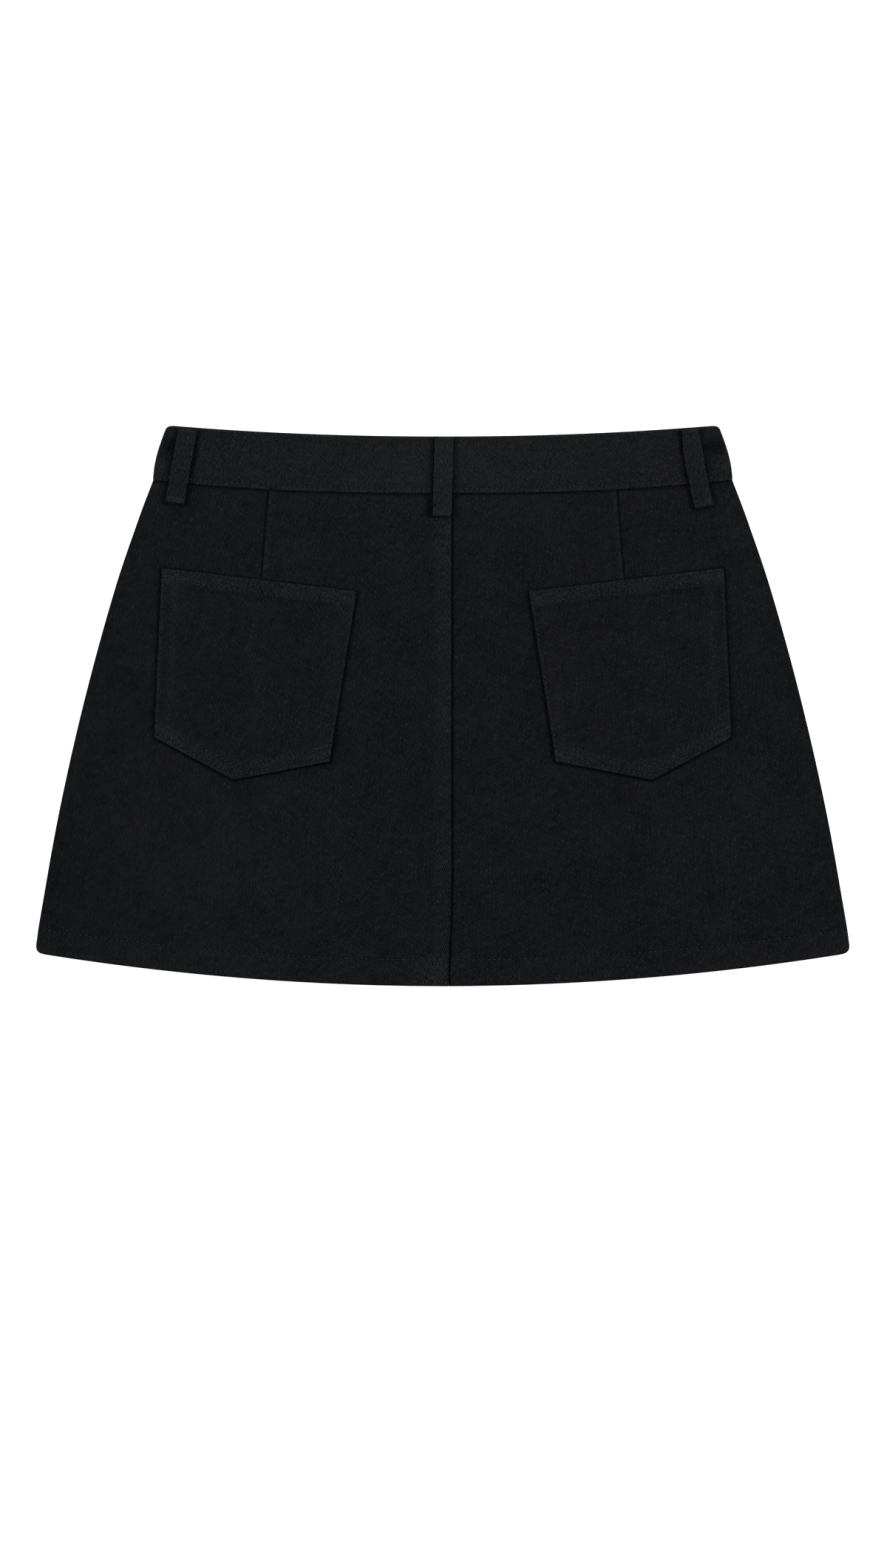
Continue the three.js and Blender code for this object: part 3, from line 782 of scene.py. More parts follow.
def band_face(x, y):
    plain = BAND_PILE + BAND_ARCH * hump(x / BAND_REACH)
    return plain + band_relief(x, band_top(x) - y, y - band_low(x)) + creases(x, y, BAND_CREASES)


def front_band_face(side):
    def face(x, y):
        climb = until(x, BAND_LAP + 1, LAP_RAMP) * (side > 0) * (BAND_THICK + LAP_AIR)
        relief = band_relief(x, front_band_top(x) - y, y - front_band_low(x))
        return front_lift(x, y) + climb - 0.5 * np.minimum(relief, 0)

    return face


def band_wear_and_shade(x, y):
    out, from_low, from_top = np.abs(x), y - band_low(x), band_top(x) - y
    worn_edges = 0.6 * near(from_low, 0.6, 1.8) + 0.6 * near(from_top, 0, 1.5)
    worn_bend = 0.6 * near(out, 191.5, 3) * near(y, 161, 5)
    # Painted shade: a dark patch between each side loop and the band's end.
    painted_shade_patch = 0.72 * near(out, 182, 8) * near(y, 175, 6.5)
    # Painted shade in the grooves of the two stitch rows.
    rows = 0.5 * near(from_low, BAND_ROW_LOW, 0.7) + 0.3 * near(from_top, BAND_ROW_TOP, 0.6)
    return rubbed_and_shaded([0.34, worn_edges, worn_bend], [painted_shade_beside_loops(x, y), painted_shade_patch, rows])


def front_band_wear(x, y):
    from_low, from_top = y - front_band_low(x), front_band_top(x) - y
    return 0.12 + 0.45 * near(from_low, 0, 1.8) + 0.45 * near(from_top, 0, 1.4)


def roll_band(**sheet):
    def pile(x, y):
        return BAND_PILE

    def thick(x, y):
        return BAND_THICK + 0 * x

    return rolled_sheet(BAND_DOWN, BAND_INSET, half=band_half, pile=pile, thick=thick, **sheet)


def make_back_band():
    flat = float(band_half(0.0)) - BAND_CORNER - BAND_PILE / 2
    count = len(np.arange(0, flat - 0.8, 0.9)) + 1

    def places(down, flat_end):
        return np.linspace(0, flat_end, count)

    def edge(x, y):
        return np.minimum(band_top(x) - y, y - band_low(x))

    sheet = {"up": 1, "top": band_top, "low": band_low, "places": places, "face": band_face, "edge": edge}
    sides = [roll_band(side=side, **sheet) for side in (-1, 1)]
    outer, inner, cut = (np.concatenate([left[:, :0:-1], right], 1) for left, right in zip(*sides))
    cut[..., 1] -= band_low(cut[..., 0])
    wear_and_shade = band_wear_and_shade(outer[..., 0], outer[..., 1])
    return shell("denim_waistband_back", outer, inner, cut, fan(cut, 1, *BAND_GRAIN), wear_and_shade)


def make_front_band(side, name):
    start = -BAND_UNDERLAP if side > 0 else -BAND_LAP
    first = graded((start, 0.4), (start + 2, 1.6), (120, 1.6))[:-1]

    def places(down, flat_end):
        return np.append(first, np.linspace(120, flat_end, 40))

    def edge(x, y):
        return np.minimum.reduce([front_band_top(x) - y, y - front_band_low(x), side * x - start])

    outline = {"top": front_band_top, "low": front_band_low, "places": places, "edge": edge}
    outer, inner, cut = roll_band(side=side, up=-1, face=front_band_face(side), **outline)
    cut[..., 1] -= front_band_low(cut[..., 0])
    wear_and_shade = front_band_wear(outer[..., 0], outer[..., 1])
    return shell(name, outer, inner, cut, cut * np.array([-1, 1]), wear_and_shade)


waistband_back = make_back_band()
waistband_left = make_front_band(-1, "denim_waistband_front_left")
waistband_right = make_front_band(1, "denim_waistband_front_right")

# %% [markdown]
# A back pocket is a five-sided patch. Its top is a folded hem under two rows of stitches, and its
# other edges are turned under, so a border stands up all round. A grid of points is drawn over the
# five sides, and the height of each point follows from its distance to the nearest side.

# %% Back pockets
POCKET_TOP_ROWS = (2.1, 8.2)
POCKET_LOW_ROWS = (2.9, 8.9)
POCKET_SIDE_ROW = 1.5
POCKET_TURN, POCKET_RAISE = 9.6, 0.45


def at_rows(top, low, wide):
    """How close a place is to a pocket's rows of stitches, of its top and of its low edges."""
    return [
        sum(near(distance, row, wide) for row in rows)
        for distance, rows in ((top, POCKET_TOP_ROWS), (low, POCKET_LOW_ROWS))
    ]


def pocket_face(x, y):
    """Height of a pocket's face over the panel that it lies on, x counted outwards."""
    top, inner, low_inner, low_outer, outer = pocket_distances(x, y)
    low, sides = np.minimum(low_inner, low_outer), np.minimum(inner, outer)
    border = POCKET_RAISE * until(np.minimum.reduce([top, low, sides]), POCKET_TURN, 2.6)
    top_rows, low_rows = at_rows(top, low, 0.6)
    dents = ROW_DENT * (top_rows + low_rows * (sides > 3))
    dents = dents + 0.2 * near(sides, POCKET_SIDE_ROW, 0.6) * (top > 1)
    uneven = 0.7 + 0.3 * np.sin(x / 9.1 + y / 14)
    between_rows = near(top, 5.2, 3) + near(low, 6, 2.6) + 0.8 * near(low, 1.2, 1)
    ropes = 0.1 * waves(x + 0.25 * y) * between_rows * uneven
    side_ropes = 0.07 * waves(y + 0.4 * x) * near(sides, 1.6, 1.6)
    return CLOTH + border - dents + ropes + side_ropes + creases(x, y, POCKET_CREASES)


def pocket_wear_and_shade(x, y, prints):
    top, inner, low_inner, low_outer, outer = pocket_distances(x, y)
    low = np.minimum(low_inner, low_outer)
    edge = np.minimum.reduce([low, inner, outer])
    border = 0.55 * until(top, POCKET_TURN, 1.5) + 0.5 * until(low, POCKET_TURN, 2)
    edges = 0.5 * near(edge, 0, 1.6) + 0.5 * near(top, 0, 1.6)
    corners = sum(
        0.35 * bell(np.hypot(level - 5, aside - 7) / 9) for level in (top, low) for aside in (outer, inner)
    )
    turnings = 0.42 * near(outer, 9.8, 2.2) + 0.26 * near(inner, 7, 4)
    # Painted shade in the grooves of the stitch rows and just under the top hem's edge.
    rows = 0.5 * sum(at_rows(top, low, 0.7))
    under_border = 0.12 * near(top, POCKET_TURN + 1.6, 1.6)
    return rubbed_and_shaded([border, edges, corners, turnings, creases(x, y, prints)], [rows, under_border])


def make_pocket(side, name, grain, prints):
    outer_top, inner_top, inner_low, tip, outer_low = (np.array(corner) for corner in POCKET.values())
    tip_share = (outer_low[0] - tip[0]) / (outer_low[0] - inner_low[0])
    wide, long = outer_top[0] - inner_top[0], outer_top[1] - outer_low[1]
    edge = graded((0, 0.25), (1, 0.5), (4, 0.9)) / wide
    outwards = np.linspace(edge[-1], tip_share, 46)[1:-1]
    inwards = np.linspace(tip_share, 1 - edge[-1], 96)[:-1]
    across = np.concatenate([edge, outwards, inwards, 1 - edge[::-1]])
    end = graded((0, 0.25), (1, 0.5), (11, 1))
    between = graded((12, 1.6), (long - 14, 0.6), (long - 12, 1))
    down = np.concatenate([end, between, long - end[::-1]]) / long
    s, t = (share[..., None] for share in np.meshgrid(across, down))
    outer_edge = lerp(outer_low, tip, s / tip_share)
    inner_edge = lerp(tip, inner_low, (s - tip_share) / (1 - tip_share))
    plan = lerp(lerp(outer_top, inner_top, s), np.where(s < tip_share, outer_edge, inner_edge), t)
    x, y = plan[..., 0], plan[..., 1]
    bed = back_face(side * x, y) + LAY_GAP
    face = pocket_face(x, y)
    slack = (1 - rim(np.minimum.reduce(pocket_distances(x, y)), 0.9)) * face / 2
    outer = np.stack([side * x, y, bed + face - slack], -1)
    inner = np.stack([side * x, y, bed + slack], -1)
    cut = np.stack([side * x, y], -1)
    return shell(name, outer, inner, cut, turned(cut, grain), pocket_wear_and_shade(x, y, prints))


pocket_left = make_pocket(-1, "denim_pocket_left", -9.3, LEFT_PRINTS)
pocket_right = make_pocket(1, "denim_pocket_right", 11, RIGHT_PRINTS)

# %% [markdown]
# Belt loops are folded strips. Each is tacked at the waistband's upper edge and again below its lower
# edge, and between them it stands a little off the cloth, so it throws a soft shadow on both sides.

# %% Belt loops
LOOP_BULGE, LOOP_END = 0.8, 0.7
LOOP_HALF, LOOP_FLAT = LOOP_WIDE / 2, 5.4
TACK_TOP, TACK_LOW = 2.0, 3.4  # distance of the tacks from a loop's ends


def loop_heights(loop):
    """Distances down a back loop and the height of its under side there."""
    top, along, across, long = loop_frame(loop)
    down = graded((0, 0.25), (1.5, 0.7), (4, 1.2), (long - 6, 0.5), (long - 1, 0.2), (long, 1))
    middle = top + down[:, None] * along
    spots = middle[:, None] + np.linspace(-LOOP_HALF, LOOP_HALF, 5)[:, None] * across
    x, y = spots[..., 0], spots[..., 1]
    bed = np.where(y > band_low(x) - 0.5, band_face(x, y), back_face(x, y)).max(1) + LAY_GAP
    leaves = down[np.argmax(middle[:, 1] < band_low(middle[:, 0]) - 2.2)]
    share = np.clip((down - 3) / (leaves - 3), 0, 1)
    raised = bed + LOOP_BULGE * np.sin(np.pi * share * 0.8)
    start = np.interp(leaves - 1, down, raised)
    end = np.interp(long - 4, down, bed)
    bridge = lerp(start, end, ease((down - leaves) / (long - 4.6 - leaves)))
    return down, np.where(down < leaves - 1, raised, np.maximum(bridge, bed))


def make_back_loop(name, loop):
    top, along, across, long = loop_frame(loop)
    down, height = loop_heights(loop)
    sides = graded((-LOOP_HALF, 0.2), (-LOOP_FLAT, 0.7), (LOOP_FLAT, 0.2), (LOOP_HALF, 1))
    s, d = np.meshgrid(sides, down)
    drawn_in = 1 - loop["bow"] * 0.12 * until(d, 0, 16)
    aside = s * drawn_in - loop["bow"] * np.sin(np.pi * d / long)
    plan = top + d[..., None] * along + aside[..., None] * across
    x, y = plan[..., 0], plan[..., 1]
    edge = np.minimum.reduce([LOOP_HALF - np.abs(s), d, long - d])
    folded = LOOP_END * (until(d, 3, 0.8) + until(long - d, 4.4, 0.8))
    tacked = -0.3 * near(long - d, TACK_LOW, 0.5) - 0.25 * near(d, TACK_TOP, 0.5)
    crown = 0.15 * (1 - np.square(s / LOOP_HALF))
    ribs = 0.1 * waves(s, 1.7) * near(long - d, 1.6, 1.3)
    thick = LOOP_THICK + folded + tacked + crown + ribs
    slack = (1 - rim(edge, 0.85)) * thick / 2
    outer = np.stack([x, y, height[:, None] + thick - slack], -1)
    inner = np.stack([x, y, height[:, None] + slack], -1)
    cut = np.stack([s, -d], -1)
    wear_and_shade = np.clip(loop["worn"] + 0.45 * near(edge, 0, 1.1) + 0.25 * near(long - d, 0, 4), 0, 1)
    return shell(name, outer, inner, cut, turned(cut, loop["grain"]), wear_and_shade)


def make_front_loop(side, name):
    top = float(front_band_top(FRONT_LOOP_X)) - 0.4
    long = FRONT_LOOP_LONG
    down = graded((0, 0.3), (1.5, 2), (long - 6, 0.6), (long, 1))
    sides = graded((-LOOP_HALF, 0.2), (-LOOP_FLAT, 0.9), (LOOP_FLAT, 0.2), (LOOP_HALF, 1))
    s, d = np.meshgrid(sides, down)
    edge = np.minimum.reduce([LOOP_HALF - np.abs(s), d, long - d])
    tacked = 0.2 * (near(long - d, TACK_LOW, 0.5) + near(d, TACK_TOP, 0.5))
    slack = (1 - rim(edge)) * LOOP_THICK / 2
    x, y = side * FRONT_LOOP_X + s, top - d
    outer = np.stack([x, y, 0.02 + slack + tacked], -1)
    inner = np.stack([x, y, LOOP_THICK - slack], -1)
    cut = np.stack([-s, -d], -1)
    return shell(name, outer, inner, cut, cut, np.clip(0.25 + 0.5 * near(edge, 0, 1.1), 0, 1))


back_loops = [make_back_loop("denim_loop_back_" + name, loop) for name, loop in BACK_LOOPS.items()]
front_loops = [make_front_loop(-1, "denim_loop_front_left"), make_front_loop(1, "denim_loop_front_right")]

# %% [markdown]
# Stitches are real thread. One stitch is modelled by hand: a short cylinder whose ends are drawn out
# and bent down into the cloth. It is then copied along every seam, and all the stitches of one seam
# group are joined into one mesh, because hundreds of separate objects would be slow to handle.

# %% One stitch
THREAD = 0.8
END_STEPS = ((0.16, 0.16, 0.75), (0.1, 0.24, 0.5))  # share drawn out, depth bent down, narrowing


def deselect():
    for item in bpy.context.selected_objects:
        item.select_set(False)


def select_faces(piece, wanted):
    """Selects the faces for which wanted(face) is true, and leaves the piece in edit mode."""
    bpy.ops.object.mode_set(mode="EDIT")
    bpy.ops.mesh.select_mode(type="FACE")
    bpy.ops.mesh.select_all(action="DESELECT")
    bpy.ops.object.mode_set(mode="OBJECT")
    for face in piece.data.polygons:
        face.select = wanted(face)
    bpy.ops.object.mode_set(mode="EDIT")


def model_stitch(long):
    """Points and faces of one stitch along x, in millimetres."""
    deselect()
    bpy.ops.mesh.primitive_cylinder_add(
        vertices=6, radius=THREAD / 2 * MM, depth=long * 0.5 * MM, rotation=(0, math.pi / 2, 0)
    )
    stitch = bpy.context.object
    bpy.ops.object.transform_apply(rotation=True)
    for end in (-1, 1):
        select_faces(stitch, lambda face: face.normal.x * end > 0.9)
        for drawn_out, bent, narrowed in END_STEPS:
            step = (end * long * drawn_out * MM, 0, -bent * MM)
            bpy.ops.mesh.extrude_region_move(TRANSFORM_OT_translate={"value": step})
            bpy.ops.transform.resize(value=(1, narrowed, narrowed))
    bpy.ops.object.mode_set(mode="OBJECT")
    points = np.array([tuple(point.co) for point in stitch.data.vertices]) / MM
    faces = [tuple(face.vertices) for face in stitch.data.polygons]
    bpy.data.objects.remove(stitch, do_unlink=True)
    print("a stitch", long, "mm long has", len(faces), "faces")
    return points, faces


LONG_STITCH, SHORT_STITCH, TACK_STITCH = (model_stitch(long) for long in (2.5, 1.9, 5.2))

# %% [markdown]
# A seam is a line drawn on the cloth. Walking along it at the stitch pitch gives a place and a
# direction for each stitch, and the surface gives its height, so the thread always lies on the cloth
# and follows every dent and rope.

# %% Rows of stitches
WOBBLE = 0.06  # how far stitches stray from their line


def walk(line, pitch):
    """Middles and directions of stitches along a line of (x, y) points."""
    line = np.asarray(line, float)
    run = np.append(0, np.cumsum(np.hypot(*np.diff(line, axis=0).T)))
    count = max(1, int(run[-1] / pitch))
    at = (np.arange(count) + 0.5) * run[-1] / count
    behind, middle, ahead = (
        np.stack([np.interp(at + shift, run, line[:, k]) for k in (0, 1)], -1) for shift in (-0.4, 0, 0.4)
    )
    way = ahead - behind
    return middle, way / np.linalg.norm(way, axis=1, keepdims=True)


def sew(line, height, up=1, pitch=STITCH_PITCH, stitch=LONG_STITCH):
    """Points and faces of a row of stitches on a surface of the given height."""
    points, faces = stitch
    middle, way = walk(line, pitch)
    aside = np.stack([-way[:, 1], way[:, 0]], -1)
    middle = middle + WOBBLE * np.sin(np.arange(len(middle)) * 2.4)[:, None] * aside
    z = height(middle[:, 0], middle[:, 1])
    base, along, across = (
        np.column_stack([flat, third]) for flat, third in ((middle, z), (way, 0 * z), (aside, 0 * z))
    )
    placed = (
        base[:, None]
        + points[None, :, :1] * along[:, None]
        + points[None, :, 1:2] * across[:, None]
        + points[None, :, 2:] * np.array([0, 0, float(up)])
    )
    return placed.reshape(-1, 3), [
        tuple(k + row * len(points) for k in (face if up > 0 else face[::-1]))
        for row in range(len(middle))
        for face in faces
    ]


def join_rows(name, rows):
    """One mesh from many rows of stitches."""
    points, faces, count = [], [], 0
    for row_points, row_faces in rows:
        points.append(row_points)
        faces.extend(tuple(k + count for k in face) for face in row_faces)
        count += len(row_points)
    print(name, len(faces), "faces")
    return link_mesh(name, np.concatenate(points), faces)


def level_line(edge, start, end):
    """A line that follows a level edge from one x to another."""
    x = np.linspace(start, end, max(2, int(abs(end - start) / 2)))
    return np.stack([x, edge(x)], -1)


def lifted(face, lift):
    return lambda x, y: face(x, y) + lift

# %% [markdown]
# The back's rows: two on the waistband and one on the hem, which stops at the centre seam. A pocket
# has double rows at its top and its low edges, tacks in its upper corners and a hidden row at its
# sides. A loop has a tack across each end, with a comb of short stitches below the lower one.

# %% Stitches of the back
ON_CLOTH = 0.14  # height of a stitch's middle over the cloth


def back_hem_line(x):
    return hem(x) + hem_row(x)


back_rows = [
    sew(level_line(lambda x: band_top(x) - BAND_ROW_TOP, -184, 184), lifted(band_face, ON_CLOTH)),
    sew(level_line(lambda x: band_low(x) + BAND_ROW_LOW, -193, 193), lifted(band_face, ON_CLOTH)),
    sew(level_line(back_hem_line, -270.5, 3.4), lifted(back_face, ON_CLOTH)),
    sew(level_line(back_hem_line, 5.0, 270.5), lifted(back_face, ON_CLOTH)),
]
stitches_back = join_rows("stitches_back", back_rows)


def pocket_line(start, end, inward, from_start=0.0, from_end=0.0):
    """A line inside one side of a pocket, shortened at its ends."""
    a, b = np.array(POCKET[start]), np.array(POCKET[end])
    way = (b - a) / np.linalg.norm(b - a)
    inner = np.array([-way[1], way[0]])
    if np.dot(np.mean(list(POCKET.values()), axis=0) - a, inner) < 0:
        inner = -inner
    return np.stack([a + way * from_start + inner * inward, b - way * from_end + inner * inward])


def pocket_rows(side):
    def height(x, y):
        return back_face(x, y) + LAY_GAP + pocket_face(np.abs(x), y) + ON_CLOTH

    def row(line, lift=0.0, pitch=STITCH_PITCH, stitch=LONG_STITCH):
        return sew(pocket_line(*line) * np.array([side, 1]), lifted(height, lift), 1, pitch, stitch)

    rows = []
    for inward in POCKET_TOP_ROWS:
        rows.append(row(("outer_top", "inner_top", inward, 10, 10)))
        for shift in (-0.55, 0.55):
            for ends in ((0.8, 122.5), (122.5, 0.8)):
                rows.append(row(("outer_top", "inner_top", inward + shift, *ends), 0.2, 4.4, TACK_STITCH))
    for inward, short in zip(POCKET_LOW_ROWS, (2, 8)):
        rows.append(row(("inner_low", "tip", inward, short, inward * 0.15)))
        rows.append(row(("tip", "outer_low", inward, inward * 0.15, short)))
    rows.append(row(("inner_top", "inner_low", POCKET_SIDE_ROW, 10, 2), -0.26, stitch=SHORT_STITCH))
    rows.append(row(("outer_low", "outer_top", POCKET_SIDE_ROW, 2, 10), -0.26, stitch=SHORT_STITCH))
    return rows


stitches_pocket_left = join_rows("stitches_pocket_left", pocket_rows(-1))
stitches_pocket_right = join_rows("stitches_pocket_right", pocket_rows(1))


def loop_rows(loop):
    """A tack across each end of a loop, and short upright stitches below the lower one."""
    top, along, across, long = loop_frame(loop)
    down, height = loop_heights(loop)

    def surface(x, y):
        below_top = (x - top[0]) * along[0] + (y - top[1]) * along[1]
        return np.interp(below_top, down, height) + LOOP_THICK + LOOP_END

    rows = []
    for place in (TACK_TOP, long - TACK_LOW):
        middle = top + along * place
        line = np.stack([middle - across * 5.2, middle + across * 5.2])
        rows.append(sew(line, surface, 1, 5.0, TACK_STITCH))
    for aside in np.arange(-4.8, 5.0, 1.6):
        start = top + along * (long - 2.8) + across * aside
        rows.append(sew(np.stack([start, start + along * 1.9]), surface, 1, 1.9, SHORT_STITCH))
    return rows


all_loop_rows = [row for loop in BACK_LOOPS.values() for row in loop_rows(loop)]
stitches_loops = join_rows("stitches_loops_back", all_loop_rows)

# %% [markdown]
# The hidden front is sewn as plainly as any skirt's: the waistband's two rows, the hem, a double row
# that turns in a curve at the foot of the fly, and one row down the lap to the hem.

# %% Stitches of the front
FLY_WIDE, FLY_LONG, FLY_CURVE = 30, 104, 26
UNDER_CLOTH = -0.1


def fly_line(inset):
    """The curved line that holds the fly, on the left front."""
    x = LAP - FLY_WIDE + inset
    foot = float(front_band_low(0.0)) - FLY_LONG + inset
    turn = np.linspace(0, math.pi / 2, 16)
    radius = FLY_CURVE - inset
    bend = np.stack([x + radius - radius * np.cos(turn), foot + radius - radius * np.sin(turn)], -1)
    return np.concatenate([[[x, float(front_band_low(x)) - 1.5]], bend, [[LAP - 1.5, foot]]])


def front_rows():
    left, right = (lifted(front_face(side), UNDER_CLOTH) for side in (-1, 1))
    left_band, right_band = (lifted(front_band_face(side), UNDER_CLOTH) for side in (-1, 1))
    lap_line = [
        [LAP - 2, float(front_band_low(0.0)) - FLY_LONG],
        [LAP - 2, float(front_hem(0.0)) + 19],
    ]

    def top_line(x):
        return front_band_top(x) - BAND_ROW_TOP

    def low_line(x):
        return front_band_low(x) + BAND_ROW_LOW

    def hem_line(x):
        return front_hem(x) + hem_row(x)

    lines = [
        (level_line(top_line, -184, 20.5), left_band),
        (level_line(low_line, -193, 20.5), left_band),
        (level_line(top_line, 24, 184), right_band),
        (level_line(low_line, 24, 193), right_band),
        (level_line(hem_line, -270.5, LAP - 1.2), left),
        (level_line(hem_line, LAP + 1.2, 270.5), right),
        (fly_line(0), left),
        (fly_line(5), left),
        (lap_line, left),
    ]
    return [sew(line, height, -1) for line, height in lines]


stitches_front = join_rows("stitches_front", front_rows())

# %% [markdown]
# The waist button is a low metal cap, face down on the table. It starts as a cylinder: insets and
# small moves give it a raised rim, a dished face and a plain middle, and a bevel softens its edges.
# It is modelled plain, with no lettering.

# %% Waist button
BUTTON_INSETS = ((1.3, 0), (0.5, -0.3), (2.6, 0.12), (0.4, 0.14))  # width and depth of each


def make_button():
    deselect()
    bpy.ops.mesh.primitive_cylinder_add(
        vertices=48,
        radius=BUTTON_RADIUS * MM,
        depth=BUTTON_THICK * MM,
        location=(0, BUTTON_Y * MM, BUTTON_THICK / 2 * MM),
    )
    button = bpy.context.object
    button.name = "button_cap"
    bpy.ops.object.transform_apply(location=True, rotation=True, scale=True)
    for way in (-1, 1):
        select_faces(button, lambda face: face.normal.z * way > 0.9)
        for wide, deep in BUTTON_INSETS:
            bpy.ops.mesh.inset(thickness=wide * MM, depth=deep * MM)
    bpy.ops.object.mode_set(mode="OBJECT")
    bevel = button.modifiers.new("soft_edges", "BEVEL")
    bevel.width = 0.2 * MM
    bevel.segments = 2
    bevel.limit_method = "ANGLE"
    bpy.ops.object.modifier_apply(modifier=bevel.name)
    bpy.ops.object.shade_smooth_by_angle(angle=math.radians(40))
    print("button", len(button.data.polygons), "faces")
    return button


button = make_button()

# %% [markdown]
# Materials are written as sums. A small class wraps a node's output socket, so that adding or
# multiplying two of them adds the Math node that does it. The denim then reads like a recipe.

# %% A graph of nodes written as expressions
class Value:
    """A socket of a material's nodes that can be used in sums."""

    def __init__(self, graph, socket):
        self.graph = graph
        self.socket = socket

    def __add__(self, other):
        return self.apply("ADD", other)

    def __mul__(self, other):
        return self.apply("MULTIPLY", other)

    def __sub__(self, other):
        return self.apply("SUBTRACT", other)

    def __rsub__(self, other):
        return self.graph.maths("SUBTRACT", other, self)

    def __truediv__(self, other):
        return self.apply("DIVIDE", other)

    def __pow__(self, other):
        return self.apply("POWER", other)

    def apply(self, operation, *others):
        return self.graph.maths(operation, self, *others)

    def clipped(self):
        return self.graph.node("ShaderNodeMath", {"operation": "ADD", "use_clamp": True}, {0: self, 1: 0.0})


class Graph:
    """The nodes of one material."""

    def __init__(self, name):
        self.material = bpy.data.materials.new(name)
        self.material.use_nodes = True
        self.tree = self.material.node_tree
        self.tree.nodes.clear()

    def node(self, kind, settings, inputs, output=0):
        made = self.tree.nodes.new(kind)
        for key, setting in settings.items():
            setattr(made, key, setting)
        for key, entry in inputs.items():
            if isinstance(entry, Value):
                self.tree.links.new(entry.socket, made.inputs[key])
            else:
                made.inputs[key].default_value = entry
        return Value(self, made.outputs[output])

    def maths(self, operation, *entries):
        return self.node("ShaderNodeMath", {"operation": operation}, dict(enumerate(entries)))

    def place(self, u, v):
        return self.node("ShaderNodeCombineXYZ", {}, {0: u, 1: v, 2: 0.0})

    def mark(self, name):
        return self.node("ShaderNodeAttribute", {"attribute_name": name}, {}, output=2)

    def mix_colours(self, factor, first, second):
        inputs = {0: factor}
        for key, colour in ((6, first), (7, second)):
            inputs[key] = colour if isinstance(colour, Value) else (*colour, 1)
        return self.node("ShaderNodeMix", {"data_type": "RGBA"}, inputs, output=2)

    def noise(self, place, scale, detail, roughness):
        inputs = {"Vector": place, "Scale": scale, "Detail": detail, "Roughness": roughness}
        return self.node("ShaderNodeTexNoise", {}, inputs)

    def finish(self, inputs):
        shader = self.node("ShaderNodeBsdfPrincipled", {}, inputs)
        out = self.tree.nodes.new("ShaderNodeOutputMaterial")
        self.tree.links.new(shader.socket, out.inputs["Surface"])
        print("material", self.material.name, "has", len(self.tree.nodes), "nodes")
        return self.material

# %% [markdown]
# Black denim is a twill: each lengthwise yarn floats over three crosswise yarns and dips under the
# fourth, one step further along than its neighbour, which draws the slanting lines. The material
# counts yarns in the piece's own UV map, so the lines turn with each piece's grain. The dye is
# uneven: it is cloudy over the panels, flecked along the yarns, and paler where edges rub. The
# stretched noises run along the yarns or along the twill's lines.

# %% Denim
YARN = 0.316  # spacing of the lengthwise yarns
FLOAT = 3.2  # length of one repeat along a yarn
FLOATED_SHARE = 0.78  # share of a repeat that lies on top
MEAN_WEAVE = 0.44
NIGHT = (0.0023, 0.0026, 0.0035)
WARM_WORN, COOL_WORN = (0.0334, 0.0343, 0.0367), (0.0318, 0.0334, 0.0383)
PAINTED_SHADE_NAVY = (0.0032, 0.0040, 0.0084)  # painted shade, where the wear and shade mark is below zero
MIDDLE_TONE, TONE_REACH = 0.308, 1.3
TONE_BY_WEAR_AND_SHADE = 0.36


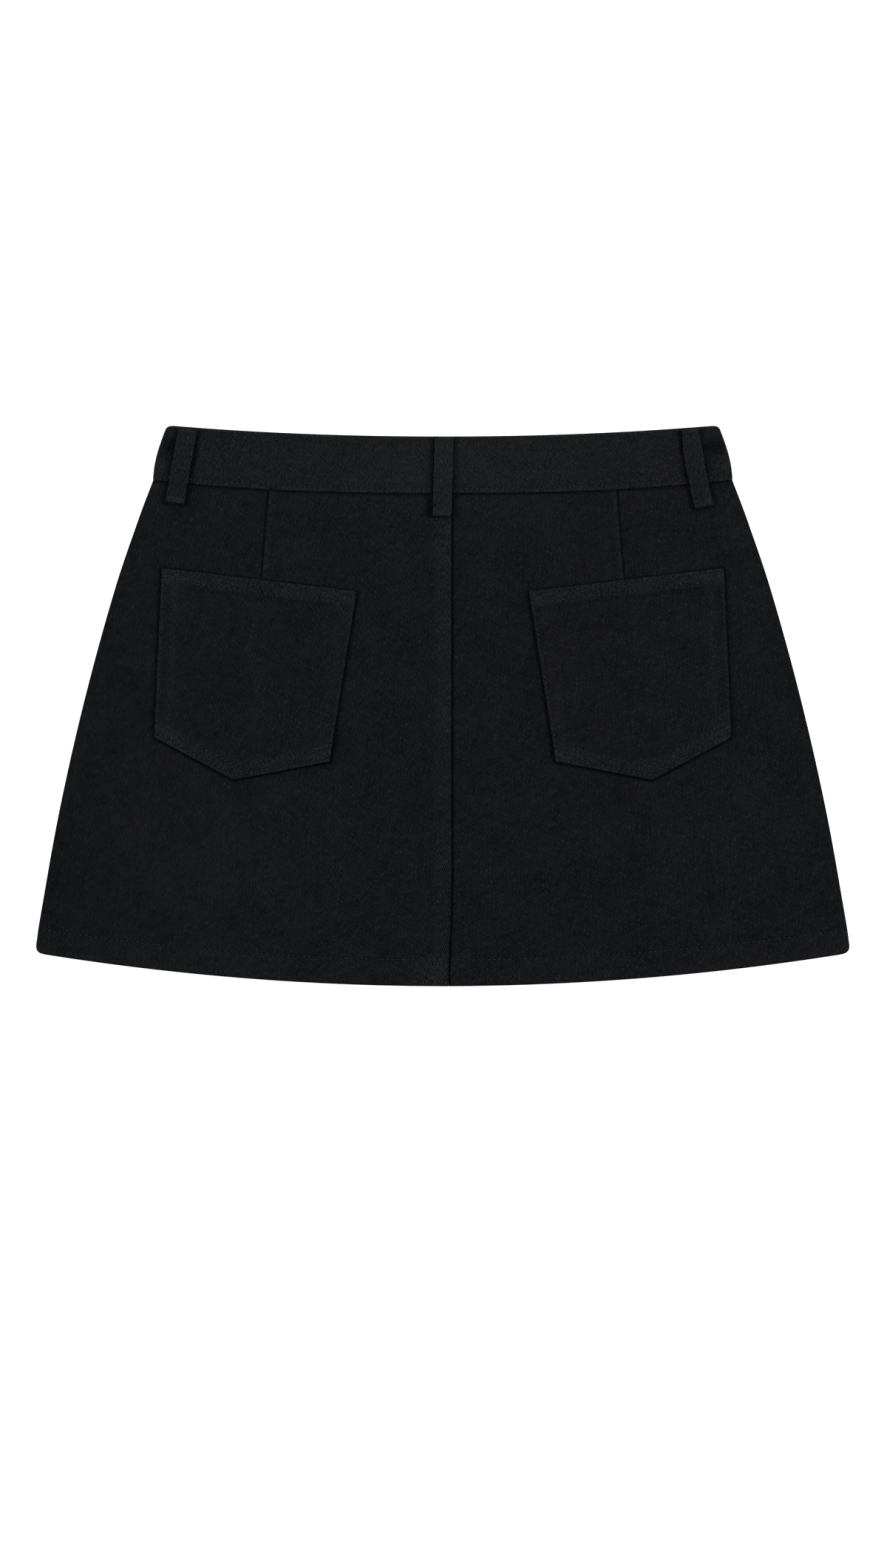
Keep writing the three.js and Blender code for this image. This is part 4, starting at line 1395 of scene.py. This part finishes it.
def make_denim(name):
    graph = Graph(name)
    place = graph.node("ShaderNodeUVMap", {"uv_map": "Cloth"}, {})
    u, v = (graph.node("ShaderNodeSeparateXYZ", {}, {0: place}, output=axis) for axis in (0, 1))
    wear_and_shade, fade_and_shade, hidden = (graph.mark(mark) for mark in ("WearAndShade", "Fade", "Nap"))
    rubbed_off = wear_and_shade.apply("MAXIMUM", 0.0)

    lean = math.atan2(FLOAT / 4, -YARN)  # the way that the twill's lines run
    along_line = u * math.cos(lean) + v * math.sin(lean)
    across_line = u * math.sin(lean) - v * math.cos(lean)
    washed = graph.noise(place, 16, 2.0, 0.6) - 0.5
    cloudy = graph.noise(place, 38, 3.0, 0.55) - 0.5
    patchy = graph.noise(place, 165, 2.0, 0.5) - 0.5
    nap = graph.noise(place, 2600, 2.0, 0.6)
    slubs = graph.noise(graph.place(u * 2.6, v * 0.5), 420, 2.0, 0.6)
    streaks = graph.noise(graph.place(u * 2.0, v * 0.09), 560, 1.0, 0.5) - 0.5
    puckers = graph.noise(graph.place(u * 2.0, v * 0.55), 700, 1.0, 0.5) - 0.5
    flecks = graph.noise(graph.place(across_line * 2.4, along_line * 0.42), 900, 1.0, 0.6)
    bright = ((flecks - 0.65) * 8).clipped()

    yarns = (u + cloudy * 0.0011 + patchy * 0.0005) / (YARN * MM)
    round_top = 1 - (yarns.apply("FRACT") * 2 - 1) ** 2
    phase = (v / (FLOAT * MM) + yarns.apply("FLOOR") * 0.25).apply("FRACT")
    floated = (phase * (math.pi / FLOATED_SHARE)).apply("SINE").apply("MAXIMUM", 0.0)
    weave = (round_top * 0.35 + 0.65) * floated
    shown = rubbed_off * 0.6 + (patchy * 0.7 + 0.53) * (1 - hidden * 0.4)

    tone = cloudy * 0.3 + patchy * 0.3 + (slubs - 0.5) * 0.36 + streaks * 0.22
    tone = tone + (flecks - 0.5) * (0.95 - hidden * 0.35)
    tone = tone + bright * (rubbed_off * 1.6 + 1.2 - hidden * 0.7)
    tone = tone + (weave - MEAN_WEAVE) * shown + rubbed_off * puckers * 2.7
    # Below zero the mark darkens the tone as painted shade; above zero it pales it as wear.
    tone = tone + (wear_and_shade + fade_and_shade) * TONE_BY_WEAR_AND_SHADE - rubbed_off * 0.1
    tone = ((tone + MIDDLE_TONE) / TONE_REACH).clipped()
    cast = washed * 2.4 + (nap - 0.5) * 1.8 + (slubs - 0.5) * 1.2
    cast = (cast - fade_and_shade * 1.5 - hidden * 0.2 - cloudy * 1.3 - patchy * 1.5 + 0.55).clipped()
    dyed = graph.mix_colours(tone, NIGHT, graph.mix_colours(cast, WARM_WORN, COOL_WORN))
    # Painted shade: where the mark is below zero, the colour is drawn towards a dark navy.
    colour = graph.mix_colours((wear_and_shade * -0.9).clipped(), dyed, PAINTED_SHADE_NAVY)

    relief = {"Strength": 0.55, "Distance": 0.16 * MM, "Height": weave * 0.75 + slubs * 0.25 + nap * 0.25}
    bump = graph.node("ShaderNodeBump", {}, relief)
    inputs = {"Base Color": colour, "Roughness": 0.92, "Specular IOR Level": 0.04, "Normal": bump}
    return graph.finish(inputs)


def make_thread():
    graph = Graph("black_thread")
    place = graph.node("ShaderNodeTexCoord", {}, {}, output=3)
    strands = graph.noise(place, 3000, 1.0, 0.5)
    worn = ((graph.noise(place, 190, 1.0, 0.5) - 0.3) * 2.2).clipped()
    pale = strands * 0.35 + worn * 0.65
    colour = graph.mix_colours(pale, (0.009, 0.0095, 0.011), (0.037, 0.038, 0.041))
    return graph.finish({"Base Color": colour, "Roughness": 0.62, "Specular IOR Level": 0.1})


denim = make_denim("black_denim")
thread = make_thread()

# %% [markdown]
# Two finishes are hidden underneath: the button's dark metal and the zip's woven tape.

# %% Hidden finishes
def make_plain(name, colour, roughness, metallic):
    graph = Graph(name)
    place = graph.node("ShaderNodeTexCoord", {}, {}, output=3)
    darker = tuple(0.7 * part for part in colour)
    mixed = graph.mix_colours(graph.noise(place, 400, 2.0, 0.5), darker, colour)
    return graph.finish({"Base Color": mixed, "Roughness": roughness, "Metallic": metallic})


gunmetal = make_plain("dark_button_metal", (0.2, 0.195, 0.19), 0.36, 1.0)
tape = make_plain("black_zip_tape", (0.018, 0.018, 0.02), 0.85, 0.0)

# %% [markdown]
# Each new piece stands for its plain solid, which is hidden, and takes its finish. Every sheet of
# cloth also prints the size that it was cut to.

# %% Dress the frame
front_panels = [front_left, front_right]
front_bands = [waistband_left, waistband_right]
CLOTH_PIECES = [  # piece, the solid that it stands for, the pieces that it lies on
    (back_left, "back_panel_left", front_panels),
    (back_right, "back_panel_right", front_panels),
    (front_left, "front_panel_left", [front_right]),
    (front_right, "front_panel_right", []),
    (waistband_back, "waistband_back", front_bands),
    (waistband_left, "waistband_front_left", []),
    (waistband_right, "waistband_front_right", [waistband_left]),
    (pocket_left, "back_pocket_left", [back_left]),
    (pocket_right, "back_pocket_right", [back_right]),
    (back_loops[0], "belt_loop_back_left", [waistband_back, back_left]),
    (back_loops[1], "belt_loop_back_centre", [waistband_back, back_left]),
    (back_loops[2], "belt_loop_back_right", [waistband_back, back_right]),
    (front_loops[0], "belt_loop_front_left", []),
    (front_loops[1], "belt_loop_front_right", []),
]
for piece, node, lies_on in CLOTH_PIECES:
    piece.data.materials.append(denim)
    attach(piece, "root")
    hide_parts(node)
    cut = cuts[piece.name]
    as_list(lies_on)
    print(node, "is cut", [round(size, 3) for size in cut["flat"]], "m,", round(cut["area"], 4), "m2")

for rows in (stitches_back, stitches_pocket_left, stitches_pocket_right, stitches_loops, stitches_front):
    rows.data.materials.append(thread)
    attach(rows, "root")

button.data.materials.append(gunmetal)
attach(button, "root")
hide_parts("waist_button")
for slot in bpy.data.objects["fly_zip"].material_slots:
    slot.material = tape

# %% [markdown]
# The light is that of a photograph on white: the floor glows a little, so that it stays clean white
# and shows no shadow. Two large soft lights stand low at the sides and a weaker one above the
# waist, so that seams, loops and pocket edges are drawn by soft dark lines beside them.

# %% Floor and light
deselect()
bpy.ops.mesh.primitive_plane_add(size=100, location=(0, 0, -0.0003))
floor = bpy.context.object
floor.name = "white_floor"
white = Graph("white_paper")
floor.data.materials.append(
    white.finish(
        {
            "Base Color": (0.8, 0.8, 0.8, 1),
            "Roughness": 1.0,
            "Emission Color": (1, 1, 1, 1),
            "Emission Strength": 1.0,
        }
    )
)


def soft_light(name, place, aim, wide, watts):
    data = bpy.data.lights.new(name, "AREA")
    data.shape = "DISK"
    data.size = wide
    data.energy = watts
    light = bpy.data.objects.new(name, data)
    light.location = place
    light.rotation_euler = (Vector(aim) - Vector(place)).to_track_quat("-Z", "Y").to_euler()
    bpy.context.collection.objects.link(light)


soft_light("left_light", (-1.35, 0.25, 0.8), (0, 0, 0), 0.5, 9)
soft_light("right_light", (1.35, 0.25, 0.8), (0, 0, 0), 0.5, 9)
soft_light("top_light", (0, 1.3, 1.3), (0, 0, 0), 0.6, 5)
world = bpy.data.worlds.new("studio")
bpy.context.scene.world = world
world.use_nodes = True
world.node_tree.nodes["Background"].inputs["Color"].default_value = (1, 1, 1, 1)
world.node_tree.nodes["Background"].inputs["Strength"].default_value = 0.3
bpy.context.scene.view_settings.view_transform = "Standard"
